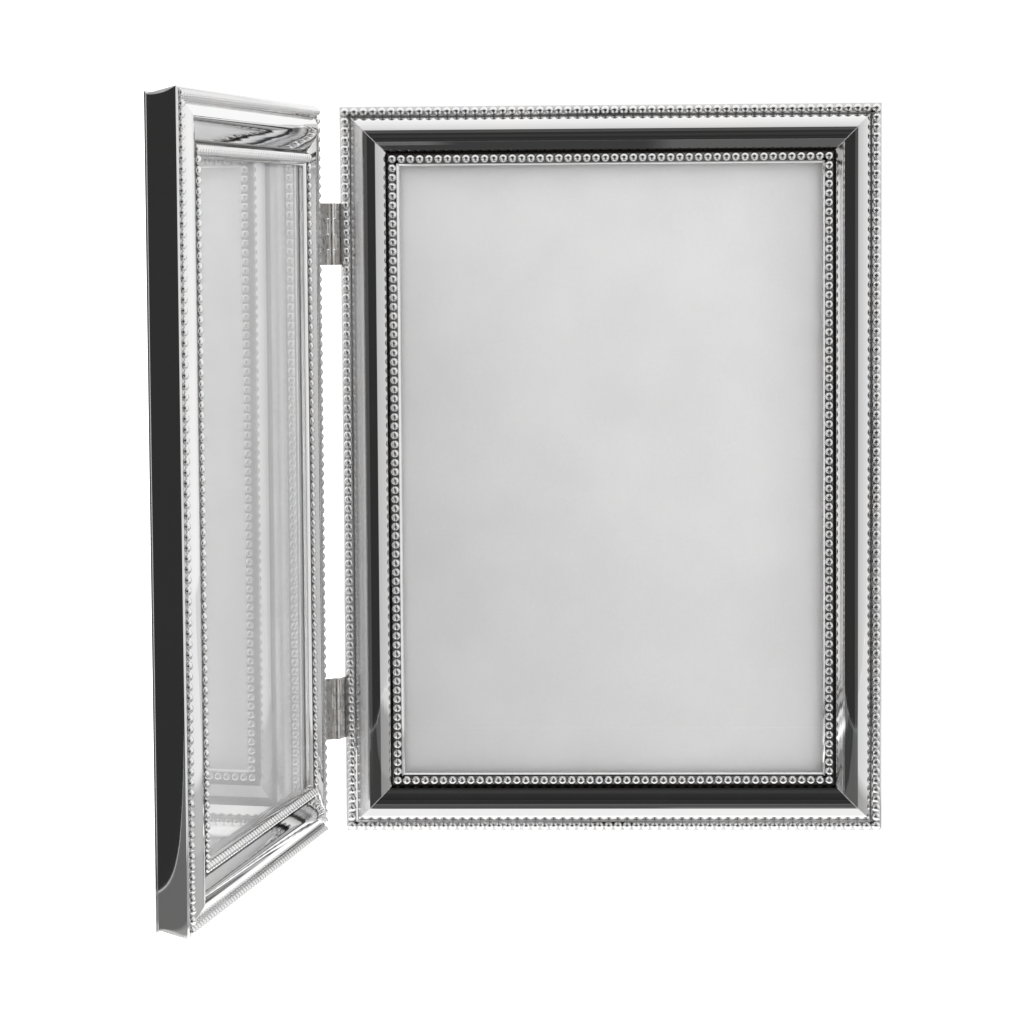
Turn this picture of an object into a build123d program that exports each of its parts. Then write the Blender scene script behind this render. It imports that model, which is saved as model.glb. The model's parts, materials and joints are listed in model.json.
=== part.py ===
from build123d import *
import math
import os

# A hinged double photo frame: two beaded leaves, each holding one photograph, joined by
# two small butt hinges. Lengths are in millimetres and +Z is up. The right leaf faces -Y
# and the left leaf swings on the hinges.

# What each leaf holds, from the front
photo_width = 127.0
photo_height = 177.8
photo_thickness = 0.25
glass_thickness = 2.0
board_thickness = 2.5
velvet_thickness = 0.6
stack_clearance = 0.1

# The leaf around it. Insets run inwards from the leaf's outer edge
pane_clearance = 0.5
rabbet_inset = 8.2
moulding_width = 16.1
leaf_width = photo_width + 2 * (pane_clearance + rabbet_inset)
leaf_height = photo_height + 2 * (pane_clearance + rabbet_inset)

# The moulding's section. Depths run back from the plane of the outer beads' centres, and
# rises run forwards from it
sheet = 0.8
side_depth = 8.45
rim_thickness = 0.45
rim_round = 0.12
cove_depth = 1.87
back_inset = 0.5
back_edge = 0.3
back_round = 0.5
back_turn = 90.0
slope_inset = 3.2
crest_inset = 6.6
crest_rise = 1.65
slope_bulge = 0.16
shoulder_inset = 10.0
shoulder_rise = 0.9
shoulder_bulge = 0.19
inner_slope_end = 12.5
inner_slope_bulge = 0.03
groove_end = 12.75
groove_drop = 0.38
lip_inset = 15.3
lip_drop = 0.95
lip_bulge = 0.22
glass_depth = 1.55
cove_mid_share = 0.35
cove_mid_depth_share = 0.60

# The two rows of beads, each on its own flat strip
bead_radius = 1.16
bead_neck = 0.3
bead_base = 0.3
bead_base_width = 2.1
bead_pitch = 2.46
bead_turn = 180.0
outer_bead_inset = 1.65
inner_bead_inset = 14.15
inner_bead_rise = 0.44
rim_depth = bead_base + rim_thickness

# The turn buttons that hold the back board, with their rivets and washers
running_gap = 0.05
button_thickness = 0.8
button_radius = 3.0
button_tip_radius = 1.9
button_reach = 8.2
button_lug_height = 1.5
rivet_radius = 1.0
rivet_head_radius = 1.9
rivet_head_height = 0.8
rivet_head_round = 0.35
rivet_tail_radius = 1.5
rivet_tail_height = 0.5
washer_radius = 2.4
washer_thickness = 0.3

# The two butt hinges. The pin's axis stands off the leaf's edge and in front of its beads
axis_gap = 2.05
axis_rise = 2.8
hinge_height = 16.4
hinge_end_distance = 34.0
knuckle_count = 4
knuckle_radius = 1.15
knuckle_gap = 0.15
knuckle_clearance = 0.35
pin_radius = 0.6
pin_running_clearance = 0.04
pin_end_round = 0.2
plate_thickness = 0.6
plate_back_depth = 7.6
plate_corner = 1.2
web_tangent_degrees = 20.0
web_bend_share = 0.2
hinge_rivet_radius = 0.8
hinge_rivet_clearance = 0.05
hinge_rivet_head_radius = 1.3
hinge_rivet_head_height = 0.45
hinge_rivet_spread = 9.0
hinge_rivet_depth = 5.6
hinge_rivet_seat = 0.25

# The pose at rest: the angle between the leaves' faces, 0 when closed
opening_angle = 97.2

# A tool that cuts right through runs this far past both faces
overrun = 5.0

sides = ["hinge_side", "free_side", "bottom", "top"]
button_sides = ["bottom", "top"]
swap_plane = Plane(origin=(0, 0, 0), x_dir=(0, 1, 0), z_dir=(1, 0, -1))


def side_length(side):
    """Length of the leaf along one of its sides."""
    return leaf_height if side in ("hinge_side", "free_side") else leaf_width


def to_side(shape, side):
    """Carry a shape from the hinge side, centred on z = 0, to a side of the leaf."""
    if side == "hinge_side":
        return Pos(0, 0, leaf_height / 2) * shape
    if side == "free_side":
        upright = Pos(0, 0, leaf_height / 2) * shape
        return mirror(upright, about=Plane.YZ.offset(leaf_width / 2))
    level = Pos(leaf_width / 2, 0, 0) * mirror(shape, about=swap_plane)
    if side == "bottom":
        return level
    return mirror(level, about=Plane.XY.offset(leaf_height / 2))


def cove_back_depth():
    """Depth at which the scoop ends and the back edge starts to curl outwards."""
    return side_depth - back_edge - back_round


def cove_edge(shift):
    """The scooped side of the section, from its deepest part to the rim, moved outwards by shift."""
    run = cove_back_depth() - rim_depth
    low = (cove_depth - shift, cove_back_depth())
    middle = (cove_depth * cove_mid_depth_share - shift, rim_depth + run * cove_mid_share)
    rim = (-shift, rim_depth)
    return ThreePointArc(low, middle, rim)


def back_edges():
    """The thin edge behind the scoop, which curls outwards."""
    centre = (cove_depth - back_round, cove_back_depth())
    curl_end = (centre[0], side_depth - back_edge)
    tip = (back_inset, side_depth - back_edge)
    return [
        Line((back_inset, side_depth), tip),
        Line(tip, curl_end),
        CenterArc(centre, back_round, 0, back_turn),
    ]


def front_edges():
    """The moulding's face, from the rim over the crest to the lip beside the glass."""
    inner_seat = -(inner_bead_rise - bead_base)
    rim_back = (0, rim_depth)
    rim_side = (0, bead_base + rim_round)
    rim_front = (rim_round, bead_base)
    slope = (slope_inset, bead_base)
    crest = (crest_inset, -crest_rise)
    shoulder = (shoulder_inset, -shoulder_rise)
    groove = (inner_slope_end, groove_drop)
    wall = (groove_end, groove_drop)
    step = (groove_end, inner_seat)
    lip = (lip_inset, inner_seat)
    sight = (moulding_width, lip_drop)
    return [
        Line(rim_back, rim_side),
        Line(rim_side, rim_front),
        Line(rim_front, slope),
        SagittaArc(slope, crest, slope_bulge),
        SagittaArc(crest, shoulder, shoulder_bulge),
        SagittaArc(shoulder, groove, inner_slope_bulge),
        Line(groove, wall),
        Line(wall, step),
        Line(step, lip),
        SagittaArc(lip, sight, lip_bulge),
    ]


def rabbet_edges():
    """The hidden side of the section: the glass seat, the rabbet wall and the back flange."""
    corners = [
        (moulding_width, lip_drop),
        (moulding_width, glass_depth),
        (rabbet_inset, glass_depth),
        (rabbet_inset, side_depth),
        (back_inset, side_depth),
    ]
    return [Line(start, end) for start, end in zip(corners, corners[1:])]


def moulding_outline():
    """The moulding's outer outline as a face in the XY plane: x is the inset, y the depth."""
    return make_face(back_edges() + [cove_edge(0)] + front_edges() + rabbet_edges())


def moulding_hollow():
    """The space inside the rolled moulding, one sheet in from its outline."""
    ceiling = -crest_rise + sheet + slope_bulge
    corners = [
        (cove_depth + sheet, side_depth - sheet),
        (rabbet_inset - sheet, side_depth - sheet),
        (rabbet_inset - sheet, ceiling),
        (crest_inset, ceiling),
        (slope_inset + sheet / 2, bead_base + sheet),
        (cove_depth + sheet, bead_base + sheet),
    ]
    return make_face(Polyline(*corners, close=True))


def mitre_tool(length):
    """A prism with 45 degree ends that leaves a rail its share of the leaf."""
    half = length / 2
    reach = moulding_width + overrun
    corners = [
        (-overrun, -half - overrun),
        (reach, -half + reach),
        (reach, half - reach),
        (-overrun, half + overrun),
    ]
    face = Plane.XZ * make_face(Polyline(*corners, close=True))
    return extrude(face, amount=side_depth + overrun, both=True)


def moulding_rail(side):
    """One mitred length of the moulding, with the holes for its rivets."""
    length = side_length(side)
    section = moulding_outline() - moulding_hollow()
    rail = Pos(0, 0, -length / 2) * extrude(section, amount=length)
    rail = rail & mitre_tool(length)
    if side in button_sides:
        rail = rail - button_bore(side_depth - sheet - overrun / 2)
    if side == "hinge_side":
        hole_radius = hinge_rivet_radius + hinge_rivet_clearance
        for height in hinge_rivet_heights():
            rail = rail - cylinder_along_x(hole_radius, hinge_rivet_depth, height, 0, overrun)
    return to_side(rail, side)


def cylinder_along_y(radius, x, z, start, length):
    """A cylinder whose axis runs along +Y from start."""
    base = Plane(origin=(x, start, z), z_dir=(0, 1, 0))
    return extrude(base * Circle(radius), amount=length)


def cylinder_along_x(radius, y, z, start, length):
    """A cylinder whose axis runs along +X from start."""
    base = Plane(origin=(start, y, z), z_dir=(1, 0, 0))
    return extrude(base * Circle(radius), amount=length)


def button_bore(start):
    """The hole that a turn button's rivet runs in, from a depth backwards."""
    return cylinder_along_y(rivet_radius + running_gap, pivot_inset(), 0, start, 2 * overrun)


def pivot_inset():
    """Inset of a turn button's pivot: the middle of the back flange."""
    return (back_inset + rabbet_inset) / 2


def hinge_centres():
    """Heights of the two hinges' middles above the leaf's lower edge."""
    return {"lower": hinge_end_distance, "upper": leaf_height - hinge_end_distance}


def hinge_rivet_heights():
    """Heights of all hinge rivets, from the middle of the hinge-side rail."""
    offsets = [-hinge_rivet_spread / 2, hinge_rivet_spread / 2]
    return [centre + offset - leaf_height / 2 for centre in hinge_centres().values() for offset in offsets]


def bead_profile(first, count, pitch):
    """Half the outline of a string of beads, between its axis on x = 0 and the domes."""
    notch = math.sqrt(bead_radius**2 - bead_neck**2)
    edges = []
    for index in range(count):
        centre = first + index * pitch
        low = (0, centre - bead_radius) if index == 0 else (bead_neck, centre - notch)
        high = (0, centre + bead_radius) if index == count - 1 else (bead_neck, centre + notch)
        edges.append(ThreePointArc(low, (bead_radius, centre), high))
        if index < count - 1:
            edges.append(Line(high, (bead_neck, centre + pitch - notch)))
    last = first + (count - 1) * pitch
    edges.append(Line((0, last + bead_radius), (0, first - bead_radius)))
    return make_face(edges)


def bead_row(side, inset, rise):
    """One side's string of half beads on its flat strip. The level rows hold the corner beads."""
    span = side_length(side) - 2 * inset
    steps = round(span / bead_pitch)
    pitch = span / steps
    holds_corners = side in ("bottom", "top")
    count = steps + 1 if holds_corners else steps - 1
    first = -(count - 1) * pitch / 2
    face = Plane.XZ * bead_profile(first, count, pitch)
    domes = revolve(face, axis=Axis((0, 0, 0), (0, 0, -1)), revolution_arc=bead_turn)
    half = (span + bead_base_width) / 2 if holds_corners else (span - bead_base_width) / 2
    strip = Pos(0, bead_base / 2, 0) * Box(bead_base_width, bead_base, 2 * half)
    return to_side(Pos(inset, -rise, 0) * (domes + strip), side)


def beading(inset, rise):
    """The four strings of beads that make one row round the leaf."""
    return [bead_row(side, inset, rise) for side in sides]


def pane(thickness, depth, clearance):
    """A flat sheet in the rabbet, its front face at the given depth."""
    width = leaf_width - 2 * (rabbet_inset + clearance)
    height = leaf_height - 2 * (rabbet_inset + clearance)
    return Pos(leaf_width / 2, depth + thickness / 2, leaf_height / 2) * Box(width, thickness, height)


def photo_depth():
    """Depth of the photograph's face, against the back of the glass."""
    return glass_depth + glass_thickness


def board_depth():
    """Depth of the back board's front, so that its velvet ends just inside the back flange."""
    return side_depth - stack_clearance - velvet_thickness - board_thickness


def spacer_card():
    """The grey card that presses the photograph to the glass."""
    front = photo_depth() + photo_thickness
    return pane(board_depth() - front, front, pane_clearance)


def velvet_cover():
    """The pile fabric on the rear of the back board."""
    return pane(velvet_thickness, board_depth() + board_thickness, pane_clearance)


def turn_button(side):
    """A stamped tab that swings over the board's edge, with a lug to push it by."""
    front = side_depth + washer_thickness + running_gap
    tip = Pos(button_reach, 0) * Circle(button_tip_radius)
    outline = make_hull([*Circle(button_radius).edges(), *tip.edges()])
    tab_plane = Plane(origin=(pivot_inset(), front, 0), x_dir=(1, 0, 0), z_dir=(0, 1, 0))
    tab = extrude(tab_plane * outline, amount=button_thickness)
    lug_x = pivot_inset() + button_reach + button_tip_radius / 2
    lug_depth = button_thickness + button_lug_height
    lug = Pos(lug_x, front + lug_depth / 2, 0) * Box(button_thickness, lug_depth, 2 * button_tip_radius)
    lug = lug & extrude(tab_plane * outline, amount=lug_depth)
    return to_side(tab + lug - button_bore(front - overrun), side)


def washer(side):
    """The washer between a turn button and the back flange."""
    disc = cylinder_along_y(washer_radius, pivot_inset(), 0, side_depth, washer_thickness)
    return to_side(disc - button_bore(side_depth - overrun), side)


def button_rivet(side):
    """The rivet that a turn button swings on, headed behind it and set inside the flange."""
    head_depth = side_depth + washer_thickness + button_thickness + 2 * running_gap
    tail_depth = side_depth - sheet - rivet_tail_height
    shank_length = head_depth - tail_depth + rivet_head_height / 2
    shank = cylinder_along_y(rivet_radius, pivot_inset(), 0, tail_depth, shank_length)
    head = cylinder_along_y(rivet_head_radius, pivot_inset(), 0, head_depth, rivet_head_height)
    crown = head.edges().filter_by(GeomType.CIRCLE).sort_by(Axis.Y)[-1]
    head = fillet(crown, radius=rivet_head_round)
    tail = cylinder_along_y(rivet_tail_radius, pivot_inset(), 0, tail_depth, rivet_tail_height)
    return to_side(head + shank + tail, side)


def plate_section():
    """Section of a hinge plate: it follows the leaf's scooped side, then bends out to the pin."""
    back = cove_back_depth()
    across = Line((cove_depth, back), (cove_depth - plate_thickness, back))
    rim_end = Line((-plate_thickness, rim_depth), (0, rim_depth))
    band = make_face([cove_edge(0), rim_end, cove_edge(plate_thickness), across])
    kept = Pos(0, plate_back_depth / 2) * Rectangle(2 * overrun, plate_back_depth)
    angle = math.radians(web_tangent_degrees)
    tangent = (-axis_gap + knuckle_radius * math.cos(angle), -axis_rise + knuckle_radius * math.sin(angle))
    bend = -axis_rise * web_bend_share
    web = Polyline(
        (0, rim_depth),
        (0, bend),
        tangent,
        (-axis_gap, -axis_rise),
        (-plate_thickness, bend + plate_thickness / 4),
        (-plate_thickness, rim_depth),
        close=True,
    )
    return (band & kept) + make_face(web)


def hinge_axis_cylinder(radius, low, high):
    """A cylinder about the hinge pin's axis between two heights."""
    return Pos(-axis_gap, -axis_rise, low) * extrude(Circle(radius), amount=high - low)


def hinge_plate(centre, own_knuckles):
    """One leaf's half of a butt hinge: plate, web and every second knuckle."""
    bottom = centre - hinge_height / 2
    pitch = hinge_height / knuckle_count
    plate = Pos(0, 0, bottom) * extrude(plate_section(), amount=hinge_height)
    for index in range(knuckle_count):
        low = bottom + index * pitch
        high = low + pitch
        if index in own_knuckles:
            low += knuckle_gap / 2 if index > 0 else 0
            high -= knuckle_gap / 2 if index < knuckle_count - 1 else 0
            plate = plate + hinge_axis_cylinder(knuckle_radius, low, high)
        else:
            low -= knuckle_gap / 2 if index > 0 else overrun
            high += knuckle_gap / 2 if index < knuckle_count - 1 else overrun
            plate = plate - hinge_axis_cylinder(knuckle_radius + knuckle_clearance, low, high)
    return plate - plate_corners(centre) - hinge_rivet_tools(centre)


def plate_corners(centre):
    """The two corners cut off the rear of a hinge plate."""
    half = hinge_height / 2
    corners = []
    for end in (-1, 1):
        points = [
            (plate_back_depth, centre + end * half),
            (plate_back_depth - plate_corner, centre + end * half),
            (plate_back_depth, centre + end * (half - plate_corner)),
        ]
        face = Plane.YZ * make_face(Polyline(*points, close=True))
        corners.append(extrude(face, amount=overrun, both=True))
    return corners


def hinge_rivet_tools(centre):
    """The holes and head seats that the hinge rivets need in a plate."""
    tools = []
    for height in (centre - hinge_rivet_spread / 2, centre + hinge_rivet_spread / 2):
        hole_radius = hinge_rivet_radius + hinge_rivet_clearance
        tools.append(cylinder_along_x(hole_radius, hinge_rivet_depth, height, -overrun, 2 * overrun))
        seat_radius = hinge_rivet_head_radius + hinge_rivet_clearance
        seat = hinge_rivet_seat_x()
        tools.append(cylinder_along_x(seat_radius, hinge_rivet_depth, height, seat - overrun, overrun))
    return tools


def hinge_rivet_seat_x():
    """Where the hinge rivets' heads sit on the plate."""
    return cove_depth - plate_thickness - hinge_rivet_seat


def hinge_rivet(height):
    """A small rivet through a hinge plate and the rail's side wall."""
    seat = hinge_rivet_seat_x()
    wall = cove_depth + sheet
    depth = hinge_rivet_depth
    head_height = hinge_rivet_head_height
    head = cylinder_along_x(hinge_rivet_head_radius, depth, height, seat - head_height, head_height)
    crown = head.edges().filter_by(GeomType.CIRCLE).sort_by(Axis.X)[0]
    head = fillet(crown, radius=head_height / 2)
    shank_start = seat - head_height / 2
    shank = cylinder_along_x(hinge_rivet_radius, depth, height, shank_start, wall - seat + head_height)
    tail = cylinder_along_x(hinge_rivet_head_radius, depth, height, wall, head_height)
    return head + shank + tail


def hinge_rivets():
    """The four rivets that hold both hinges to one leaf."""
    return [hinge_rivet(height + leaf_height / 2) for height in hinge_rivet_heights()]


def hinge_pin(centre):
    """The pin through a hinge's knuckles."""
    pin = hinge_axis_cylinder(pin_radius, centre - hinge_height / 2, centre + hinge_height / 2)
    ends = pin.edges().filter_by(GeomType.CIRCLE)
    return fillet(ends, radius=pin_end_round)


def bored(plate, centre, clearance):
    """Bore a hinge plate's knuckles for the pin."""
    low = centre - hinge_height / 2 - overrun
    high = centre + hinge_height / 2 + overrun
    return plate - hinge_axis_cylinder(pin_radius + clearance, low, high)


def stand_right(shape):
    """Place a shape of the right leaf about the hinge pins' axis."""
    return Pos(axis_gap, axis_rise, 0) * shape


def stand_left(shape):
    """Mirror a shape onto the closed left leaf and swing it open to the pose at rest."""
    closed = mirror(stand_right(shape), about=Plane.XZ)
    return Rot(0, 0, -opening_angle) * closed


def leaf_pieces():
    """Every piece of one leaf in the leaf's own frame, by name."""
    pieces = {}
    for side in sides:
        pieces[side + "_rail"] = [moulding_rail(side)]
    for side in button_sides:
        pieces[side + "_turn_button"] = [turn_button(side)]
    pieces["outer_beading"] = beading(outer_bead_inset, 0)
    pieces["inner_beading"] = beading(inner_bead_inset, inner_bead_rise)
    pieces["glass_pane"] = [pane(glass_thickness, glass_depth, pane_clearance)]
    pieces["photo_sheet"] = [pane(photo_thickness, photo_depth(), pane_clearance)]
    pieces["spacer_card"] = [spacer_card()]
    pieces["back_board"] = [pane(board_thickness, board_depth(), pane_clearance)]
    pieces["velvet_cover"] = [velvet_cover()]
    pieces["turn_button_washers"] = [washer(side) for side in button_sides]
    pieces["turn_button_rivets"] = [button_rivet(side) for side in button_sides]
    pieces["hinge_rivets"] = hinge_rivets()
    return pieces


def hinge_pieces():
    """The plates and pins of both hinges, standing about the pins' axis."""
    pieces = {}
    right_knuckles = range(0, knuckle_count, 2)
    left_knuckles = range(1, knuckle_count, 2)
    for name, centre in hinge_centres().items():
        right = bored(hinge_plate(centre, right_knuckles), centre, 0)
        left = bored(hinge_plate(centre, left_knuckles), centre, pin_running_clearance)
        pieces[name + "_hinge_right_plate"] = [stand_right(right)]
        pieces[name + "_hinge_left_plate"] = [stand_left(left)]
        pieces[name + "_hinge_pin"] = [stand_right(hinge_pin(centre))]
    return pieces


def all_pieces():
    """Every node's solids, standing about the pins' axis, by node name."""
    pieces = {}
    for name, solids in leaf_pieces().items():
        pieces["right_" + name] = [stand_right(solid) for solid in solids]
        pieces["left_" + name] = [stand_left(solid) for solid in solids]
    pieces.update(hinge_pieces())
    return pieces


def overall_box(pieces):
    """Lowest and highest corners of the whole frame."""
    boxes = [solid.bounding_box() for solids in pieces.values() for solid in solids]
    low = [min(getattr(box.min, axis) for box in boxes) for axis in "XYZ"]
    high = [max(getattr(box.max, axis) for box in boxes) for axis in "XYZ"]
    return low, high


def main():
    """Build every node, set the origin under the middle of the whole, and write the files."""
    os.makedirs("parts", exist_ok=True)
    pieces = {}
    for name, shapes in all_pieces().items():
        pieces[name] = [solid for shape in shapes for solid in shape.solids()]
    low, high = overall_box(pieces)
    origin = Pos(-(low[0] + high[0]) / 2, -(low[1] + high[1]) / 2, -low[2])
    for name, solids in pieces.items():
        moved = [origin * solid for solid in solids]
        body = moved[0] if len(moved) == 1 else Compound(children=moved)
        export_step(body, os.path.join("parts", name + ".step"))
    print("hinge axis at", tuple(origin.position))
    print("size", [high[axis] - low[axis] for axis in range(3)])


main()
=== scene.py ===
"""Looks for a hinged double photo frame, built around its fixed CAD frame in metres.

Two silver-plated leaves with beaded mouldings hold glass over plain inserts, have velvet
backs with turn buttons, and stand open on two small butt hinges.
"""
import json
import logging
import math
import random
from dataclasses import dataclass, field
from enum import Enum
from typing import Callable, Iterable, Optional, Sequence

import bpy
from mathutils import Matrix, Vector, noise


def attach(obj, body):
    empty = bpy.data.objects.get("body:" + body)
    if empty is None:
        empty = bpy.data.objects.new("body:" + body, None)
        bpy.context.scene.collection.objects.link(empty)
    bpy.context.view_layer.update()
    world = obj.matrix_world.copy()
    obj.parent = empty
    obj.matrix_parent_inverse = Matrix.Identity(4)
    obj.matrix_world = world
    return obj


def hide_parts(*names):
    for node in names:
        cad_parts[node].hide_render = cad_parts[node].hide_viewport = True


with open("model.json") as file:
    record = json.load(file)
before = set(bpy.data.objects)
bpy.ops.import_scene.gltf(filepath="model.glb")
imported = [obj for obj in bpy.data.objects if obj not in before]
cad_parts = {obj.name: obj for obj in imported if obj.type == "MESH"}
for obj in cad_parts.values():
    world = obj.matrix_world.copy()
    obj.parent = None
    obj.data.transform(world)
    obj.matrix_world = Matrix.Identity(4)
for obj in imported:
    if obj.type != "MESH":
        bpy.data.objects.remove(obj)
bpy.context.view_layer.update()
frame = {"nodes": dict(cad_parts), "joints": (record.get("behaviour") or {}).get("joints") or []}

MM = 0.001
LOG = logging.getLogger("photo_frame")
EASE_SHARE = 0.45  # most of a straight that an eased corner may take

Point2 = tuple[float, float]
Point3 = tuple[float, float, float]
Stop = tuple[float, Sequence[float]]
Placer = Callable[[float, float, float], Vector]
Tree = bpy.types.NodeTree
Node = bpy.types.Node
Feed = float | bpy.types.Node | bpy.types.NodeSocket  # what a node's input can be fed with


class Hand(Enum):
    """Which of the two leaves a piece belongs to."""

    RIGHT = "right"
    LEFT = "left"


class Side(Enum):
    """The four sides of a leaf, each with one rail and one strip of each beading."""

    HINGE = "hinge_side"
    FREE = "free_side"
    BOTTOM = "bottom"
    TOP = "top"

    @property
    def level(self) -> bool:
        """True for the two sides that run across the leaf."""
        return self in (Side.BOTTOM, Side.TOP)


def linear(colour: str) -> tuple[float, float, float, float]:
    """Turn an sRGB hex colour to linear RGBA.

    Args:
        colour: Six hex digits after a hash mark.

    Returns:
        Linear red, green and blue with an alpha of one.
    """
    channels = [int(colour[start:start + 2], 16) / 255 for start in (1, 3, 5)]
    rgb = [c / 12.92 if c <= 0.04045 else ((c + 0.055) / 1.055) ** 2.4 for c in channels]
    return rgb[0], rgb[1], rgb[2], 1.0


def grey(value: float) -> tuple[float, float, float, float]:
    """A neutral linear colour."""
    return value, value, value, 1.0


def add_node(
    tree: Tree,
    kind: str,
    sockets: Optional[dict[str | int, object]] = None,
    stops: Sequence[Stop] = (),
    **settings: object,
) -> Node:
    """Add one node, set its properties and fill or link its inputs.

    Args:
        tree: The node tree that gets the node.
        kind: Blender's name for the node type.
        sockets: Values or links for its inputs, by name or number. A node among them stands
            for its first output.
        stops: Place and colour of each stop of a colour ramp, in rising order.
        settings: Properties of the node itself.

    Returns:
        The new node.
    """
    node = tree.nodes.new(kind)
    for name, value in settings.items():
        setattr(node, name, value)
    for key, value in (sockets or {}).items():
        if isinstance(value, bpy.types.Node):
            value = value.outputs[0]
        if isinstance(value, bpy.types.NodeSocket):
            tree.links.new(value, node.inputs[key])
        else:
            node.inputs[key].default_value = value
    for _ in stops[2:]:
        node.color_ramp.elements.new(0.5)
    for index, (place, colour) in enumerate(stops):
        stop = node.color_ramp.elements[index]
        stop.position, stop.color = place, colour
    return node


def real_size(place: Feed, size_mm: float, detail: float) -> dict[str, object]:
    """A noise's inputs for features of a real width, with some layers of finer ones."""
    return {"Vector": place, "Scale": 1 / (size_mm * MM), "Detail": detail}


def spread(noise_value: Feed, low: float, high: float) -> dict[str, object]:
    """Inputs that map a noise, which mostly lies between 0.3 and 0.7, onto a range."""
    return {"Value": noise_value, "From Min": 0.3, "From Max": 0.7, "To Min": low, "To Max": high}


def relief(height: Feed, height_mm: float) -> dict[str, object]:
    """A bump's inputs for relief of a real height."""
    return {"Height": height, "Distance": height_mm * MM}


def two_tones(span: Point2, first: Sequence[float], second: Sequence[float]) -> list[Stop]:
    """A colour ramp's stops, from one colour to another over a span of values."""
    return list(zip(span, (first, second)))


def brightness_along(tree: Tree, value: Feed, low: float, high: float, stops: Sequence[Point2]) -> Node:
    """Brightness along a value, through given stops.

    Args:
        tree: The node tree that gets the nodes.
        value: What is measured.
        low: The least value.
        high: The greatest value.
        stops: Value and brightness of each stop, in rising order.

    Returns:
        The node that gives the brightness.
    """
    share = add_node(tree, "ShaderNodeMapRange", {"Value": value, "From Min": low, "From Max": high})
    shades = [((place - low) / (high - low), grey(level)) for place, level in stops]
    ramp = add_node(tree, "ShaderNodeValToRGB", {"Fac": share}, shades)
    return add_node(tree, "ShaderNodeSeparateColor", {0: ramp})


def lay_over(tree: Tree, under: Feed, over: Feed, *limits: tuple[Feed, float, float]) -> Node:
    """Lay one brightness over another where all of some values are within soft limits.

    Args:
        tree: The node tree that gets the nodes.
        under: The brightness outside the limits.
        over: The brightness within them.
        limits: A value, where it begins to count, and where it counts in full.

    Returns:
        The node that gives the new brightness.
    """
    share: Feed = 1.0
    for value, begins, full in limits:
        soft = add_node(tree, "ShaderNodeMapRange", {"Value": value, "From Min": begins, "From Max": full})
        share = add_node(tree, "ShaderNodeMath", {0: share, 1: soft}, operation="MULTIPLY")
    return add_node(tree, "ShaderNodeMix", {0: share, 2: under, 3: over})


@dataclass(frozen=True)
class Finish:
    """A surface finish that makes one procedural material.

    Attributes:
        name: The material's name, after the real material and process.
        colour: Base colour as sRGB hex.
        roughness: Microfacet roughness of the bare surface.
    """

    name: str
    colour: str
    roughness: float

    def material(self) -> bpy.types.Material:
        """Return this finish's material, made on first use.

        Returns:
            The material.
        """
        made = bpy.data.materials.get(self.name)
        if made is None:
            made = bpy.data.materials.new(self.name)
            made.use_nodes = True
            tree = made.node_tree
            tree.nodes.clear()
            surface = self.surface(tree, add_node(tree, "ShaderNodeTexCoord").outputs["Object"])
            add_node(tree, "ShaderNodeOutputMaterial", {"Surface": surface})
            made.diffuse_color = linear(self.colour)
        return made

    def surface(self, tree: Tree, place: Feed) -> Node:
        """Build the shader.

        Args:
            tree: The material's node tree.
            place: Object coordinates, in metres.

        Returns:
            The shader's node.
        """
        raise NotImplementedError


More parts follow.
